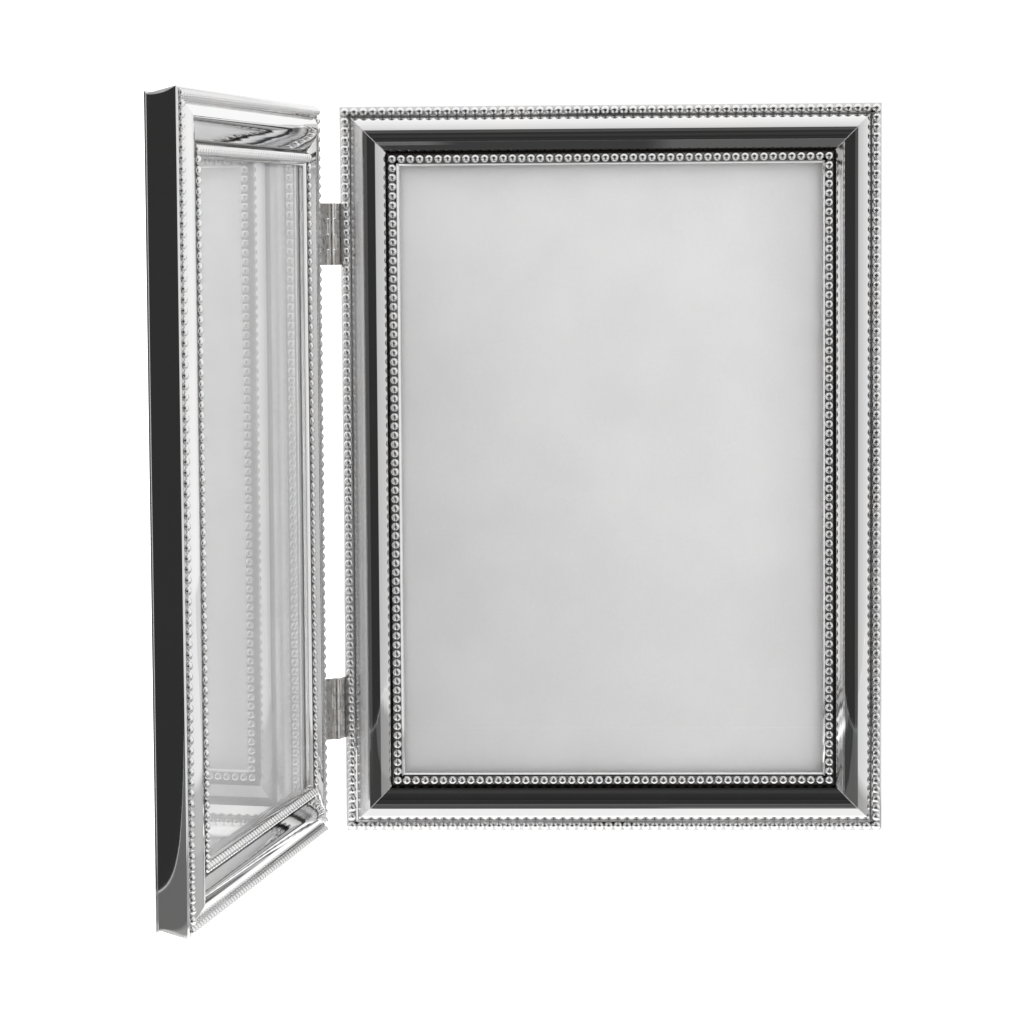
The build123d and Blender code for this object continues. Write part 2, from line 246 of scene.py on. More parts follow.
@dataclass(frozen=True)
class SilverPlate(Finish):
    """Silver plate over rolled or pressed steel, buffed to a mirror.

    The eye sees the room in it, bent by the form, with a slight warmth, a breath of haze
    where it was handled and a faint unevenness left by the buffing wheel. The meshes say
    where the wheel doesn't quite reach (satin), and where a dark colour is painted into the
    crevices (crevice) as painted shade and dark reflection, with some tarnish that the wheel never reaches.

    Attributes:
        haze_mm: Size of the hazy patches.
        wave_mm: Spacing of the buffing wheel's unevenness.
        wave_height_mm: Height of that unevenness.
        gloss_shares: Shares of the roughness where there is least and most haze.
        satin_roughness: Roughness added where the wheel doesn't quite reach.
        cool_shares: Shares of the colour's red, green and blue left in the cooler patches.
        cool_span: Values of the haze between which the plating turns cooler.
        tarnish_and_shade: Colour painted into the crevices as their shade and dark reflection, with
        some tarnish that the buffing wheel doesn't reach, as sRGB hex.
    """

    haze_mm: float = 18.0
    wave_mm: float = 7.0
    wave_height_mm: float = 0.002
    gloss_shares: Point2 = (0.7, 1.5)
    satin_roughness: float = 0.2
    cool_shares: Point3 = (0.97, 0.98, 1.0)
    cool_span: Point2 = (0.35, 0.65)
    tarnish_and_shade: str = "#45423F"

    def surface(self, tree: Tree, place: Feed) -> Node:
        """Mirror metal with uneven gloss and a slightly uneven surface.

        Args:
            tree: The material's node tree.
            place: Object coordinates, in metres.

        Returns:
            The shader's node.
        """
        haze = add_node(tree, "ShaderNodeTexNoise", real_size(place, self.haze_mm, 4.0))
        least, most = (self.roughness * share for share in self.gloss_shares)
        gloss = add_node(tree, "ShaderNodeMapRange", spread(haze, least, most))
        satin = add_node(tree, "ShaderNodeAttribute", attribute_name="satin").outputs["Fac"]
        rougher = {0: satin, 1: self.satin_roughness, 2: gloss}
        gloss = add_node(tree, "ShaderNodeMath", rougher, operation="MULTIPLY_ADD")
        waves = add_node(tree, "ShaderNodeTexNoise", real_size(place, self.wave_mm, 1.0))
        warm = linear(self.colour)
        cool = (*(part * share for part, share in zip(warm, self.cool_shares)), 1.0)
        tint = add_node(tree, "ShaderNodeValToRGB", {"Fac": haze}, two_tones(self.cool_span, warm, cool))
        # Painted shade and dark reflection: where the mesh marks a crevice, the plating's colour turns to a
        # dark one, with some tarnish there too.
        crevice_shade = add_node(tree, "ShaderNodeAttribute", attribute_name="crevice").outputs["Fac"]
        tones = {0: crevice_shade, 6: tint, 7: linear(self.tarnish_and_shade)}
        colour = add_node(tree, "ShaderNodeMix", tones, data_type="RGBA")
        metal = {
            "Base Color": colour.outputs[2],
            "Metallic": 1.0,
            "Roughness": gloss,
            "Normal": add_node(tree, "ShaderNodeBump", relief(waves, self.wave_height_mm)),
        }
        return add_node(tree, "ShaderNodeBsdfPrincipled", metal)


@dataclass(frozen=True)
class FloatGlass(Finish):
    """Clear float glass 2 mm thick: near invisible face on, a mirror at a slant.

    Attributes:
        index: Refractive index.
        ripple_mm: Width of the float's ripples.
        ripple_height_mm: Height of the ripples.
    """

    index: float = 1.52
    ripple_mm: float = 60.0
    ripple_height_mm: float = 0.001

    def surface(self, tree: Tree, place: Feed) -> Node:
        """Glass that lets the studio's lamps reach the paper behind it.

        Args:
            tree: The material's node tree.
            place: Object coordinates, in metres.

        Returns:
            The shader's node.
        """
        ripple = add_node(tree, "ShaderNodeTexNoise", real_size(place, self.ripple_mm, 0.0))
        pane = {
            "Base Color": linear(self.colour),
            "Roughness": self.roughness,
            "IOR": self.index,
            "Transmission Weight": 1.0,
            "Normal": add_node(tree, "ShaderNodeBump", relief(ripple, self.ripple_height_mm)),
        }
        glass = add_node(tree, "ShaderNodeBsdfPrincipled", pane)
        clear = add_node(tree, "ShaderNodeBsdfTransparent", {"Color": linear(self.colour)})
        path = add_node(tree, "ShaderNodeLightPath").outputs
        matt_light = {0: path["Is Shadow Ray"], 1: path["Is Diffuse Ray"]}
        lit = add_node(tree, "ShaderNodeMath", matt_light, operation="MAXIMUM")
        return add_node(tree, "ShaderNodeMixShader", {0: lit, 1: glass, 2: clear})


@dataclass(frozen=True)
class PaperStock(Finish):
    """Paper or card of pressed wood fibre, calendered or left open: matt and faintly mottled.

    Attributes:
        second: The darker tone of the fibre mottling, as sRGB hex.
        fibre_mm: Length of the fibre clumps, drawn coarser than real fibre so that it shows.
        relief_mm: Height of the fibre relief.
        cloud_size: How many times wider than the clumps the cloudy mottling is.
        tone_span: Values of the mottling between which the tone turns.
        shine: Specular level.
    """

    second: str = "#C4C4C4"
    fibre_mm: float = 0.8
    relief_mm: float = 0.004
    cloud_size: float = 40.0
    tone_span: Point2 = (0.38, 0.62)
    shine: float = 0.3

    def surface(self, tree: Tree, place: Feed) -> Node:
        """Matt paper, mottled at two scales.

        Args:
            tree: The material's node tree.
            place: Object coordinates, in metres.

        Returns:
            The shader's node.
        """
        fibre = add_node(tree, "ShaderNodeTexNoise", real_size(place, self.fibre_mm, 6.0))
        cloud = add_node(tree, "ShaderNodeTexNoise", real_size(place, self.fibre_mm * self.cloud_size, 2.0))
        both = add_node(tree, "ShaderNodeMix", {0: 0.5, 2: fibre, 3: cloud})
        tones = two_tones(self.tone_span, linear(self.second), linear(self.colour))
        sheet = {
            "Base Color": add_node(tree, "ShaderNodeValToRGB", {"Fac": both}, tones),
            "Roughness": self.roughness,
            "Specular IOR Level": self.shine,
            "Normal": add_node(tree, "ShaderNodeBump", relief(fibre, self.relief_mm)),
        }
        return add_node(tree, "ShaderNodeBsdfPrincipled", sheet)


@dataclass(frozen=True)
class Velvet(Finish):
    """Cut-pile velvet: near black face on, with a grey bloom where the pile leans away.

    Attributes:
        bloom: Colour of the light that the pile's tips catch, as sRGB hex.
        nap_mm: Size of the patches where the pile leans one way.
        nap_span: Values of the nap between which the tone turns.
        nap_shares: Red, green and blue of the lighter patches, as shares of the darker ones'.
        tuft_mm: Spacing of the pile's tufts, drawn coarser than real tufts so that they show.
        tuft_height_mm: Height of the tufts' unevenness.
        shine: Specular level.
        sheen: Weight of the bloom.
        sheen_roughness: How widely the bloom spreads.
    """

    bloom: str = "#6E6E74"
    nap_mm: float = 26.0
    nap_span: Point2 = (0.3, 0.7)
    nap_shares: Point3 = (2.6, 2.6, 2.7)
    tuft_mm: float = 0.35
    tuft_height_mm: float = 0.12
    shine: float = 0.1
    sheen: float = 0.55
    sheen_roughness: float = 0.45

    def surface(self, tree: Tree, place: Feed) -> Node:
        """Dark diffuse pile under a soft sheen.

        Args:
            tree: The material's node tree.
            place: Object coordinates, in metres.

        Returns:
            The shader's node.
        """
        nap = add_node(tree, "ShaderNodeTexNoise", real_size(place, self.nap_mm, 3.0))
        tufts = add_node(tree, "ShaderNodeTexNoise", real_size(place, self.tuft_mm, 3.0))
        dark = linear(self.colour)
        light = (*(part * share for part, share in zip(dark, self.nap_shares)), 1.0)
        tones = two_tones(self.nap_span, dark, light)
        pile = {
            "Base Color": add_node(tree, "ShaderNodeValToRGB", {"Fac": nap}, tones),
            "Roughness": self.roughness,
            "Specular IOR Level": self.shine,
            "Sheen Weight": self.sheen,
            "Sheen Roughness": self.sheen_roughness,
            "Sheen Tint": linear(self.bloom),
            "Normal": add_node(tree, "ShaderNodeBump", relief(tufts, self.tuft_height_mm)),
        }
        return add_node(tree, "ShaderNodeBsdfPrincipled", pile)


@dataclass(frozen=True)
class WorkedMetal(Finish):
    """Plain metal as it leaves a process, such as tumbled nickel plate or drawn wire.

    The eye sees a soft metal gloss, broken by fine marks of the process and duller patches.

    Attributes:
        grain_mm: Width of the marks that the process leaves.
        stretch: How much longer than wide the marks are, along Z.
        relief_mm: Height of the marks.
        stain: A darker tone for duller patches, as sRGB hex.
        stain_mm: Size of the dulled patches.
        stain_span: Values of the patches between which the tone turns.
        gloss_shares: Shares of the roughness at the least and most rough marks.
    """

    grain_mm: float = 0.25
    stretch: float = 1.0
    relief_mm: float = 0.006
    stain: str = "#8E8A84"
    stain_mm: float = 2.2
    stain_span: Point2 = (0.36, 0.56)
    gloss_shares: Point2 = (0.7, 1.5)

    def surface(self, tree: Tree, place: Feed) -> Node:
        """Bare metal with process marks and duller patches.

        Args:
            tree: The material's node tree.
            place: Object coordinates, in metres.

        Returns:
            The shader's node.
        """
        squeezed = add_node(tree, "ShaderNodeMapping", {"Vector": place, "Scale": (1, 1, 1 / self.stretch)})
        marks = add_node(tree, "ShaderNodeTexNoise", real_size(squeezed, self.grain_mm, 3.0))
        patches = add_node(tree, "ShaderNodeTexNoise", real_size(place, self.stain_mm, 4.0))
        tones = two_tones(self.stain_span, linear(self.stain), linear(self.colour))
        least, most = (self.roughness * share for share in self.gloss_shares)
        metal = {
            "Base Color": add_node(tree, "ShaderNodeValToRGB", {"Fac": patches}, tones),
            "Metallic": 1.0,
            "Roughness": add_node(tree, "ShaderNodeMapRange", spread(marks, least, most)),
            "Normal": add_node(tree, "ShaderNodeBump", relief(marks, self.relief_mm)),
        }
        return add_node(tree, "ShaderNodeBsdfPrincipled", metal)


@dataclass(frozen=True)
class BlackLacquer(Finish):
    """Stamped steel dipped in black lacquer: satin black, with grey rub marks.

    Attributes:
        worn: Colour of the rubbed spots, as sRGB hex.
        rub_mm: Size of the rubbed spots.
        rub_span: Values of the rubbing between which the lacquer wears through.
        gloss_shares: Shares of the roughness where it is least and most rubbed.
        peel_mm: Width of the lacquer's orange peel.
        peel_height_mm: Height of the orange peel.
    """

    worn: str = "#4A4845"
    rub_mm: float = 1.6
    rub_span: Point2 = (0.62, 0.74)
    gloss_shares: Point2 = (1.0, 1.6)
    peel_mm: float = 0.5
    peel_height_mm: float = 0.01

    def surface(self, tree: Tree, place: Feed) -> Node:
        """Lacquer with orange peel and rubbed spots.

        Args:
            tree: The material's node tree.
            place: Object coordinates, in metres.

        Returns:
            The shader's node.
        """
        rub = add_node(tree, "ShaderNodeTexNoise", real_size(place, self.rub_mm, 5.0))
        peel = add_node(tree, "ShaderNodeTexNoise", real_size(place, self.peel_mm, 1.0))
        tones = two_tones(self.rub_span, linear(self.colour), linear(self.worn))
        least, most = (self.roughness * share for share in self.gloss_shares)
        coat = {
            "Base Color": add_node(tree, "ShaderNodeValToRGB", {"Fac": rub}, tones),
            "Roughness": add_node(tree, "ShaderNodeMapRange", spread(rub, least, most)),
            "Normal": add_node(tree, "ShaderNodeBump", relief(peel, self.peel_height_mm)),
        }
        return add_node(tree, "ShaderNodeBsdfPrincipled", coat)


MOULDING_SILVER = SilverPlate("silver_plate_buffed_rolled_steel", "#F7F6F5", 0.035)
BEADING_SILVER = SilverPlate(
    "silver_plate_pressed_beading", "#F8F7F6", 0.06, haze_mm=9.0, wave_mm=1.4, wave_height_mm=0.004
)
PANE_GLASS = FloatGlass("float_glass_clear", "#FEFEFE", 0.0)
INSERT_PAPER = PaperStock(
    "calendered_grey_paper", "#AEAEAE", 0.55, second="#A8A8A8", fibre_mm=0.5, relief_mm=0.003
)
SPACER_CARD = PaperStock(
    "uncoated_grey_card", "#8C8A86", 0.9, second="#6F6D69", fibre_mm=0.9, relief_mm=0.02
)
HARDBOARD = PaperStock(
    "pressed_brown_hardboard", "#5C4030", 0.8, second="#3E2A1F", fibre_mm=1.2, relief_mm=0.03
)
BACK_VELVET = Velvet("black_cut_pile_velvet", "#0C0C0D", 0.95)
HINGE_NICKEL = WorkedMetal(
    "nickel_plate_on_stamped_brass",
    "#F0EEEC",
    0.3,
    grain_mm=0.3,
    stretch=6.0,
    relief_mm=0.001,
    stain="#DAD5CF",
)
PIN_STEEL = WorkedMetal(
    "drawn_steel_wire", "#D2D1CF", 0.2, grain_mm=0.12, stretch=12.0, relief_mm=0.002, stain="#A09E9B"
)
RIVET_STEEL = WorkedMetal(
    "headed_bright_steel", "#CFCDC9", 0.25, grain_mm=0.2, relief_mm=0.008, stain="#8C8A87"
)
BUTTON_LACQUER = BlackLacquer("black_lacquered_stamped_steel", "#141414", 0.3)


@dataclass(frozen=True)
class LeafFrame:
    """Where a leaf stands, with its own insets, depths and heights in millimetres.

    Attributes:
        hand: Which leaf it is.
        axis: The hinge pins' axis on the table, in metres.
        opening: Angle between the leaves' faces, in radians.
        width: Width of the leaf.
        height: Height of the leaf.
        gap: How far the axis stands off the leaf's edge.
        rise: How far the axis stands in front of the outer beads' centres.
    """

    hand: Hand
    axis: Vector
    opening: float
    width: float = 144.4
    height: float = 195.2
    gap: float = 2.05
    rise: float = 2.8

    @property
    def body(self) -> str:
        """The CAD body that the leaf's fixed pieces ride on."""
        return self.hand.value + "_leaf"

    def place(self, across: float, depth: float, up: float) -> Vector:
        """World point of a leaf point.

        Args:
            across: Distance from the hinge-side edge, in millimetres.
            depth: Distance behind the outer beads' centres, in millimetres.
            up: Height above the leaf's lower edge, in millimetres.

        Returns:
            The point in metres.
        """
        x, y = self.gap + across, self.rise + depth
        if self.hand is Hand.LEFT:
            turned = Matrix.Rotation(-self.opening, 2) @ Vector((x, -y))
            x, y = turned
        return Vector((self.axis.x + x * MM, self.axis.y + y * MM, up * MM))

    def length(self, side: Side) -> float:
        """Length of one side of the leaf."""
        return self.width if side.level else self.height

    def along(self, side: Side) -> Placer:
        """Placer for one side, from inset, depth and distance from the side's middle.

        Args:
            side: The side.

        Returns:
            The placer.
        """

        def placed(inset: float, depth: float, run: float) -> Vector:
            """World point on this side.

            Args:
                inset: Distance from the leaf's edge, in millimetres.
                depth: Distance behind the outer beads' centres, in millimetres.
                run: Distance from the side's middle, in millimetres.

            Returns:
                The point in metres.
            """
            if side is Side.HINGE:
                return self.place(inset, depth, self.height / 2 + run)
            if side is Side.FREE:
                return self.place(self.width - inset, depth, self.height / 2 + run)
            up = inset if side is Side.BOTTOM else self.height - inset
            return self.place(self.width / 2 + run, depth, up)

        return placed


@dataclass
class MeshParts:
    """Points and faces gathered for one piece, whose faces all turn outwards.

    Attributes:
        points: World points in metres.
        faces: Corner numbers of each face.
        crevice_shade: How much painted shade darkens the plating at each point, from nought to one.
    """

    points: list[Vector] = field(default_factory=list)
    faces: list[tuple[int, ...]] = field(default_factory=list)
    crevice_shade: list[float] = field(default_factory=list)

    def add(
        self, points: Iterable[Vector], faces: Iterable[Sequence[int]], flipped: bool, shade_share: float = 0.0
    ) -> None:
        """Append one closed form.

        Args:
            points: World points in metres.
            faces: Corner numbers within those points.
            flipped: True where the placing mirrors the form.
            shade_share: How much painted shade darkens the form's plating, from nought to one.
        """
        start = len(self.points)
        self.points.extend(points)
        self.crevice_shade.extend([shade_share] * (len(self.points) - start))
        for face in faces:
            corners = [start + corner for corner in face]
            self.faces.append(tuple(reversed(corners)) if flipped else tuple(corners))

    def piece(self, name: str, finish: Finish, **shade_and_satin: Sequence[float]) -> bpy.types.Object:
        """Make the Blender object.

        Args:
            name: The piece's name.
            finish: Its surface.
            shade_and_satin: Values from nought to one at each point, under the names that the finish reads,
            such as painted crevice shade and satin.

        Returns:
            The new object, smooth shaded.
        """
        mesh = bpy.data.meshes.new(name)
        mesh.from_pydata([tuple(point) for point in self.points], [], self.faces)
        mesh.polygons.foreach_set("use_smooth", [True] * len(mesh.polygons))
        mesh.materials.append(finish.material())
        for kind, values in shade_and_satin.items():
            mesh.attributes.new(kind, "FLOAT", "POINT").data.foreach_set("value", values)
        mesh.update()
        made = bpy.data.objects.new(name, mesh)
        bpy.context.scene.collection.objects.link(made)
        return made


def mirrors(placer: Placer) -> bool:
    """See whether a placer turns a right-handed form into a left-handed one.

    Args:
        placer: The placer.

    Returns:
        Whether it mirrors.
    """
    origin = placer(0, 0, 0)
    axes = [placer(1, 0, 0) - origin, placer(0, 1, 0) - origin, placer(0, 0, 1) - origin]
    return axes[0].cross(axes[1]).dot(axes[2]) < 0


def arc_points(start: Point2, end: Point2, bulge: float, count: int) -> list[Point2]:
    """Points on a circular arc, by its chord and bulge.

    Args:
        start: First point.
        end: Last point.
        bulge: Height of the arc over its chord, to the right of the way from start to end.
        count: How many steps the arc takes.

    Returns:
        The points, both ends included.
    """
    chord = Vector((end[0] - start[0], end[1] - start[1]))
    middle = Vector(((start[0] + end[0]) / 2, (start[1] + end[1]) / 2))
    side = Vector((chord.y, -chord.x)).normalized()
    half = chord.length / 2
    radius = (half**2 + bulge**2) / (2 * bulge)
    centre = middle + side * (bulge - radius)
    reach = math.asin(half / radius)
    points = []
    for step in range(count + 1):
        angle = reach * (2 * step / count - 1)
        spot = centre + side * radius * math.cos(angle) + chord.normalized() * radius * math.sin(angle)
        points.append((spot.x, spot.y))
    return points


def arc_through(start: Point2, middle: Point2, end: Point2, count: int) -> list[Point2]:
    """Points on the circular arc through three points.

    Args:
        start: First point.
        middle: A point on the way.
        end: Last point.
        count: How many steps the arc takes.

    Returns:
        The points, both ends included.
    """
    ax, ay, bx, by, cx, cy = *start, *middle, *end
    d = 2 * (ax * (by - cy) + bx * (cy - ay) + cx * (ay - by))
    ux = ((ax**2 + ay**2) * (by - cy) + (bx**2 + by**2) * (cy - ay) + (cx**2 + cy**2) * (ay - by)) / d
    uy = ((ax**2 + ay**2) * (cx - bx) + (bx**2 + by**2) * (ax - cx) + (cx**2 + cy**2) * (bx - ax)) / d
    radius = math.hypot(ax - ux, ay - uy)
    first = math.atan2(ay - uy, ax - ux)
    turn = math.remainder(math.atan2(cy - uy, cx - ux) - first, math.tau)
    return [
        (ux + radius * math.cos(first + turn * i / count), uy + radius * math.sin(first + turn * i / count))
        for i in range(count + 1)
    ]


def rounded_corner(before: Point2, corner: Point2, after: Point2, cut: float, steps: int) -> list[Point2]:
    """A corner eased by a short curve, which takes less than half of either way.

    Args:
        before: A point on the way in.
        corner: The sharp corner.
        after: A point on the way out.
        cut: How far along each way the curve reaches.
        steps: How many steps the curve takes.

    Returns:
        The curve's points.
    """
    tip = Vector(corner)
    inwards = Vector(before) - tip
    outwards = Vector(after) - tip
    first = tip + inwards.normalized() * min(cut, inwards.length * EASE_SHARE)
    last = tip + outwards.normalized() * min(cut, outwards.length * EASE_SHARE)
    points = []
    for step in range(steps + 1):
        share = step / steps
        spot = first * (1 - share) ** 2 + tip * 2 * share * (1 - share) + last * share**2
        points.append((spot.x, spot.y))
    return points


def soft_band(value: float, first: float, last: float, edge: float) -> float:
    """How far a value is inside a band whose edges are soft, from nought to one."""
    return min(max(min(value - first, last - value) / edge, 0.0), 1.0)


@dataclass(frozen=True)
class MouldingSection:
    """Section of the rolled moulding: insets from the leaf's edge, depths from the beads' centres.

    Its main sizes, in millimetres, are the CAD moulding's. The corners are eased as rolling
    and plating ease them, and the roll leaves faint lines along the face.

    Attributes:
        side_depth: Depth of the back edge.
        rim_depth: Depth at which the scooped side meets the rim.
        rim_bevel: Inset at which the rim's bevel meets the outer beads' strip.
        bead_seat: Depth of the outer beads' strip.
        cove_depth: Greatest inset of the scooped side, at its back.
        cove_mid_inset: Inset of a point on the scoop.
        cove_mid_depth: Depth of that point.
        back_inset: Inset of the curled back edge.
        back_edge: Height of the back edge's curl.
        back_round: Radius of the curl.
        slope_inset: Inset at which the outer slope starts.
        crest_inset: Inset of the crest.
        crest_rise: How far the crest stands in front of the beads' centres.
        slope_bulge: How far the outer slope bulges.
        shoulder_inset: Inset of the shoulder.
        shoulder_rise: How far the shoulder stands in front of the beads' centres.
        shoulder_bulge: How far the face bulges between crest and shoulder.
        inner_slope_end: Inset at which the inner slope meets the groove.
        inner_slope_bulge: How far the inner slope bulges.
        groove_end: Inset of the groove's far wall.
        groove_drop: Depth of the groove.
        inner_seat: Depth of the inner beads' strip.
        lip_inset: Inset at which that strip ends.
        width: Inset of the sight edge.
        lip_drop: Depth of the sight edge.
        lip_bulge: How far the lip bulges.
        glass_depth: Depth of the glass's face.
        rabbet_inset: Inset of the rabbet's wall.
        edge_ease: How far corners are eased.
        edge_steps: Steps round an eased corner.
        curl_steps: Steps round the back edge's curl.
        cove_steps: Steps across the scoop, and across the inner slope.
        face_steps: Steps across the outer slope, and from crest to shoulder.
        lip_steps: Steps across the lip.
        roll_line_pitch: Spacing of the roll lines.
        roll_line_height: Height of the roll lines.
        roll_line_beat: Height and frequency, as shares, and phase of the second set of lines.
        roll_line_fade: Steps over which the lines fade in from either end of a curve.
        face_depth: Depth that the face doesn't reach.
        shade_edge: Width of a painted shade band's soft edges.
        strip_shaded: Insets between which painted shade darkens the strip beside the outer beads.
        strip_shade: How dark that painted shade is, from nought to one.
        groove_shaded: Inset from which painted shade darkens the groove, on upright and on level rails.
        groove_bright: Width of the strip's inner edge that stays bright.
        satin_edge: Width of the satin slope's soft edges.
    """

    side_depth: float = 8.45
    rim_depth: float = 0.75
    rim_bevel: float = 0.45
    bead_seat: float = 0.3
    cove_depth: float = 1.87
    cove_mid_inset: float = 1.12
    cove_mid_depth: float = 3.17
    back_inset: float = 1.2
    back_edge: float = 0.3
    back_round: float = 0.15
    slope_inset: float = 3.2
    crest_inset: float = 6.6
    crest_rise: float = 1.65
    slope_bulge: float = 0.16
    shoulder_inset: float = 10.0
    shoulder_rise: float = 0.9
    shoulder_bulge: float = 0.19
    inner_slope_end: float = 12.5
    inner_slope_bulge: float = 0.03
    groove_end: float = 12.75
    groove_drop: float = 0.38
    inner_seat: float = -0.14
    lip_inset: float = 15.3
    width: float = 16.1
    lip_drop: float = 0.6
    lip_bulge: float = 0.05
    glass_depth: float = 1.55
    rabbet_inset: float = 8.2
    edge_ease: float = 0.06
    edge_steps: int = 4
    curl_steps: int = 10
    cove_steps: int = 36
    face_steps: int = 48
    lip_steps: int = 16
    roll_line_pitch: float = 0.9
    roll_line_height: float = 0.0016
    roll_line_beat: Point3 = (0.6, 0.37, 1.3)
    roll_line_fade: int = 6
    face_depth: float = 1.0
    shade_edge: float = 0.12
    strip_shaded: Point2 = (2.5, 3.3)
    strip_shade: float = 0.35
    groove_shaded: Point2 = (12.35, 11.85)
    groove_bright: float = 0.1
    satin_edge: float = 0.36

    def cove(self) -> list[list[Point2]]:
        """The scooped side from its curled back edge to the rim.

        Returns:
            Its runs, which meet at corners or end smoothly in each other.
        """
        under = self.side_depth - self.back_edge
        tip, curl = (self.back_inset, under), (self.cove_depth - self.back_round, under)
        low = (self.cove_depth, under - self.back_round)
        diagonal = self.back_round * math.sqrt(0.5)
        turn = (curl[0] + diagonal, low[1] + diagonal)
        middle = (self.cove_mid_inset, self.cove_mid_depth)
        return [
            [(self.back_inset, self.side_depth), tip],
            [tip, curl],
            arc_through(curl, turn, low, self.curl_steps),
            arc_through(low, middle, (0.0, self.rim_depth), self.cove_steps),
        ]

    def runs(self) -> list[list[Point2]]:
        """The closed outline as smooth runs that meet at corners.

        Returns:
            The runs, in order round the section from the back edge.
        """
        land = [(self.rim_bevel, self.bead_seat), (self.slope_inset, self.bead_seat)]
        crest = (self.crest_inset, -self.crest_rise)
        shoulder = (self.shoulder_inset, -self.shoulder_rise)
        groove = (self.inner_slope_end, self.groove_drop)
        wall = (self.groove_end, self.groove_drop)
        seat = (self.groove_end, self.inner_seat)
        lip = (self.lip_inset, self.inner_seat)
        sight = (self.width, self.lip_drop)
        pane = (self.width, self.glass_depth)
        rabbet = (self.rabbet_inset, self.glass_depth)
        rear = (self.rabbet_inset, self.side_depth)
        return [
            *self.cove(),
            [(0.0, self.rim_depth), land[0]],
            land,
            arc_points(land[-1], crest, self.slope_bulge, self.face_steps),
            arc_points(crest, shoulder, self.shoulder_bulge, self.face_steps),
            arc_points(shoulder, groove, self.inner_slope_bulge, self.cove_steps),
            [groove, wall],
            [wall, seat],
            [seat, lip],
            arc_points(lip, sight, self.lip_bulge, self.lip_steps),
            [sight, pane],
            [pane, rabbet],
            [rabbet, rear],
            [rear, (self.back_inset, self.side_depth)],
        ]

    def outline(self) -> list[Point2]:
        """The closed outline with eased corners.

        Returns:
            The outline's points, in order from the back edge.
        """
        runs = self.runs()
        points: list[Point2] = []
        for run, following in zip(runs, runs[1:] + runs[:1]):
            if len(run) > 2:
                points.extend(self.rolled(run[1:-1]))
            points.extend(rounded_corner(run[-2], run[-1], following[1], self.edge_ease, self.edge_steps))
        return points

    def rolled(self, run: list[Point2]) -> list[Point2]:
        """A curved run with the faint lines that the rolls leave along the moulding.

        Args:
            run: The curve's points.

        Returns:
            The points with the lines.
        """
        height, beat, shift = self.roll_line_beat
        lined = []
        for index, (inset, depth) in enumerate(run):
            fade = min(index, len(run) - 1 - index, self.roll_line_fade) / self.roll_line_fade
            phase = math.tau * inset / self.roll_line_pitch
            wave = math.sin(phase) + height * math.sin(phase * beat + shift)
            lined.append((inset, depth + wave * fade * self.roll_line_height))
        return lined

    def crevice_shade_at(self, inset: float, depth: float, side: Side) -> float:
        """How much painted shade darkens the plating at a point of the section, from nought to one.

        Args:
            inset: Distance from the leaf's edge.
            depth: Distance behind the outer beads' centres.
            side: The rail's side. The level rails' groove gets painted shade more widely, and the rails
            beside the hinges get none along the outer beads.

        Returns:
            More than nought only in the crevices beside the beads.
        """
        # Painted shade and dark reflection in the groove and beside the outer beads, with some tarnish.
        if depth > self.face_depth:
            return 0.0
        start, stop = self.groove_shaded[side.level], self.lip_inset - self.groove_bright
        shade_share = soft_band(inset, start, stop, self.shade_edge)
        if side is not Side.HINGE:
            shade_share = max(shade_share, self.strip_shade * soft_band(inset, *self.strip_shaded, self.shade_edge))
        return shade_share

    def satin(self, inset: float, depth: float, side: Side) -> float:
        """How far the buffing falls short at a point of the section, from nought to one.

        Args:
            inset: Distance from the leaf's edge.
            depth: Distance behind the outer beads' centres.
            side: The rail's side. The wheel doesn't quite reach the slope beside the hinges.

        Returns:
            One on that slope, nought elsewhere.
        """
        if side is not Side.HINGE or depth > self.face_depth:
            return 0.0
        return soft_band(inset, self.slope_inset, self.crest_inset, self.satin_edge)


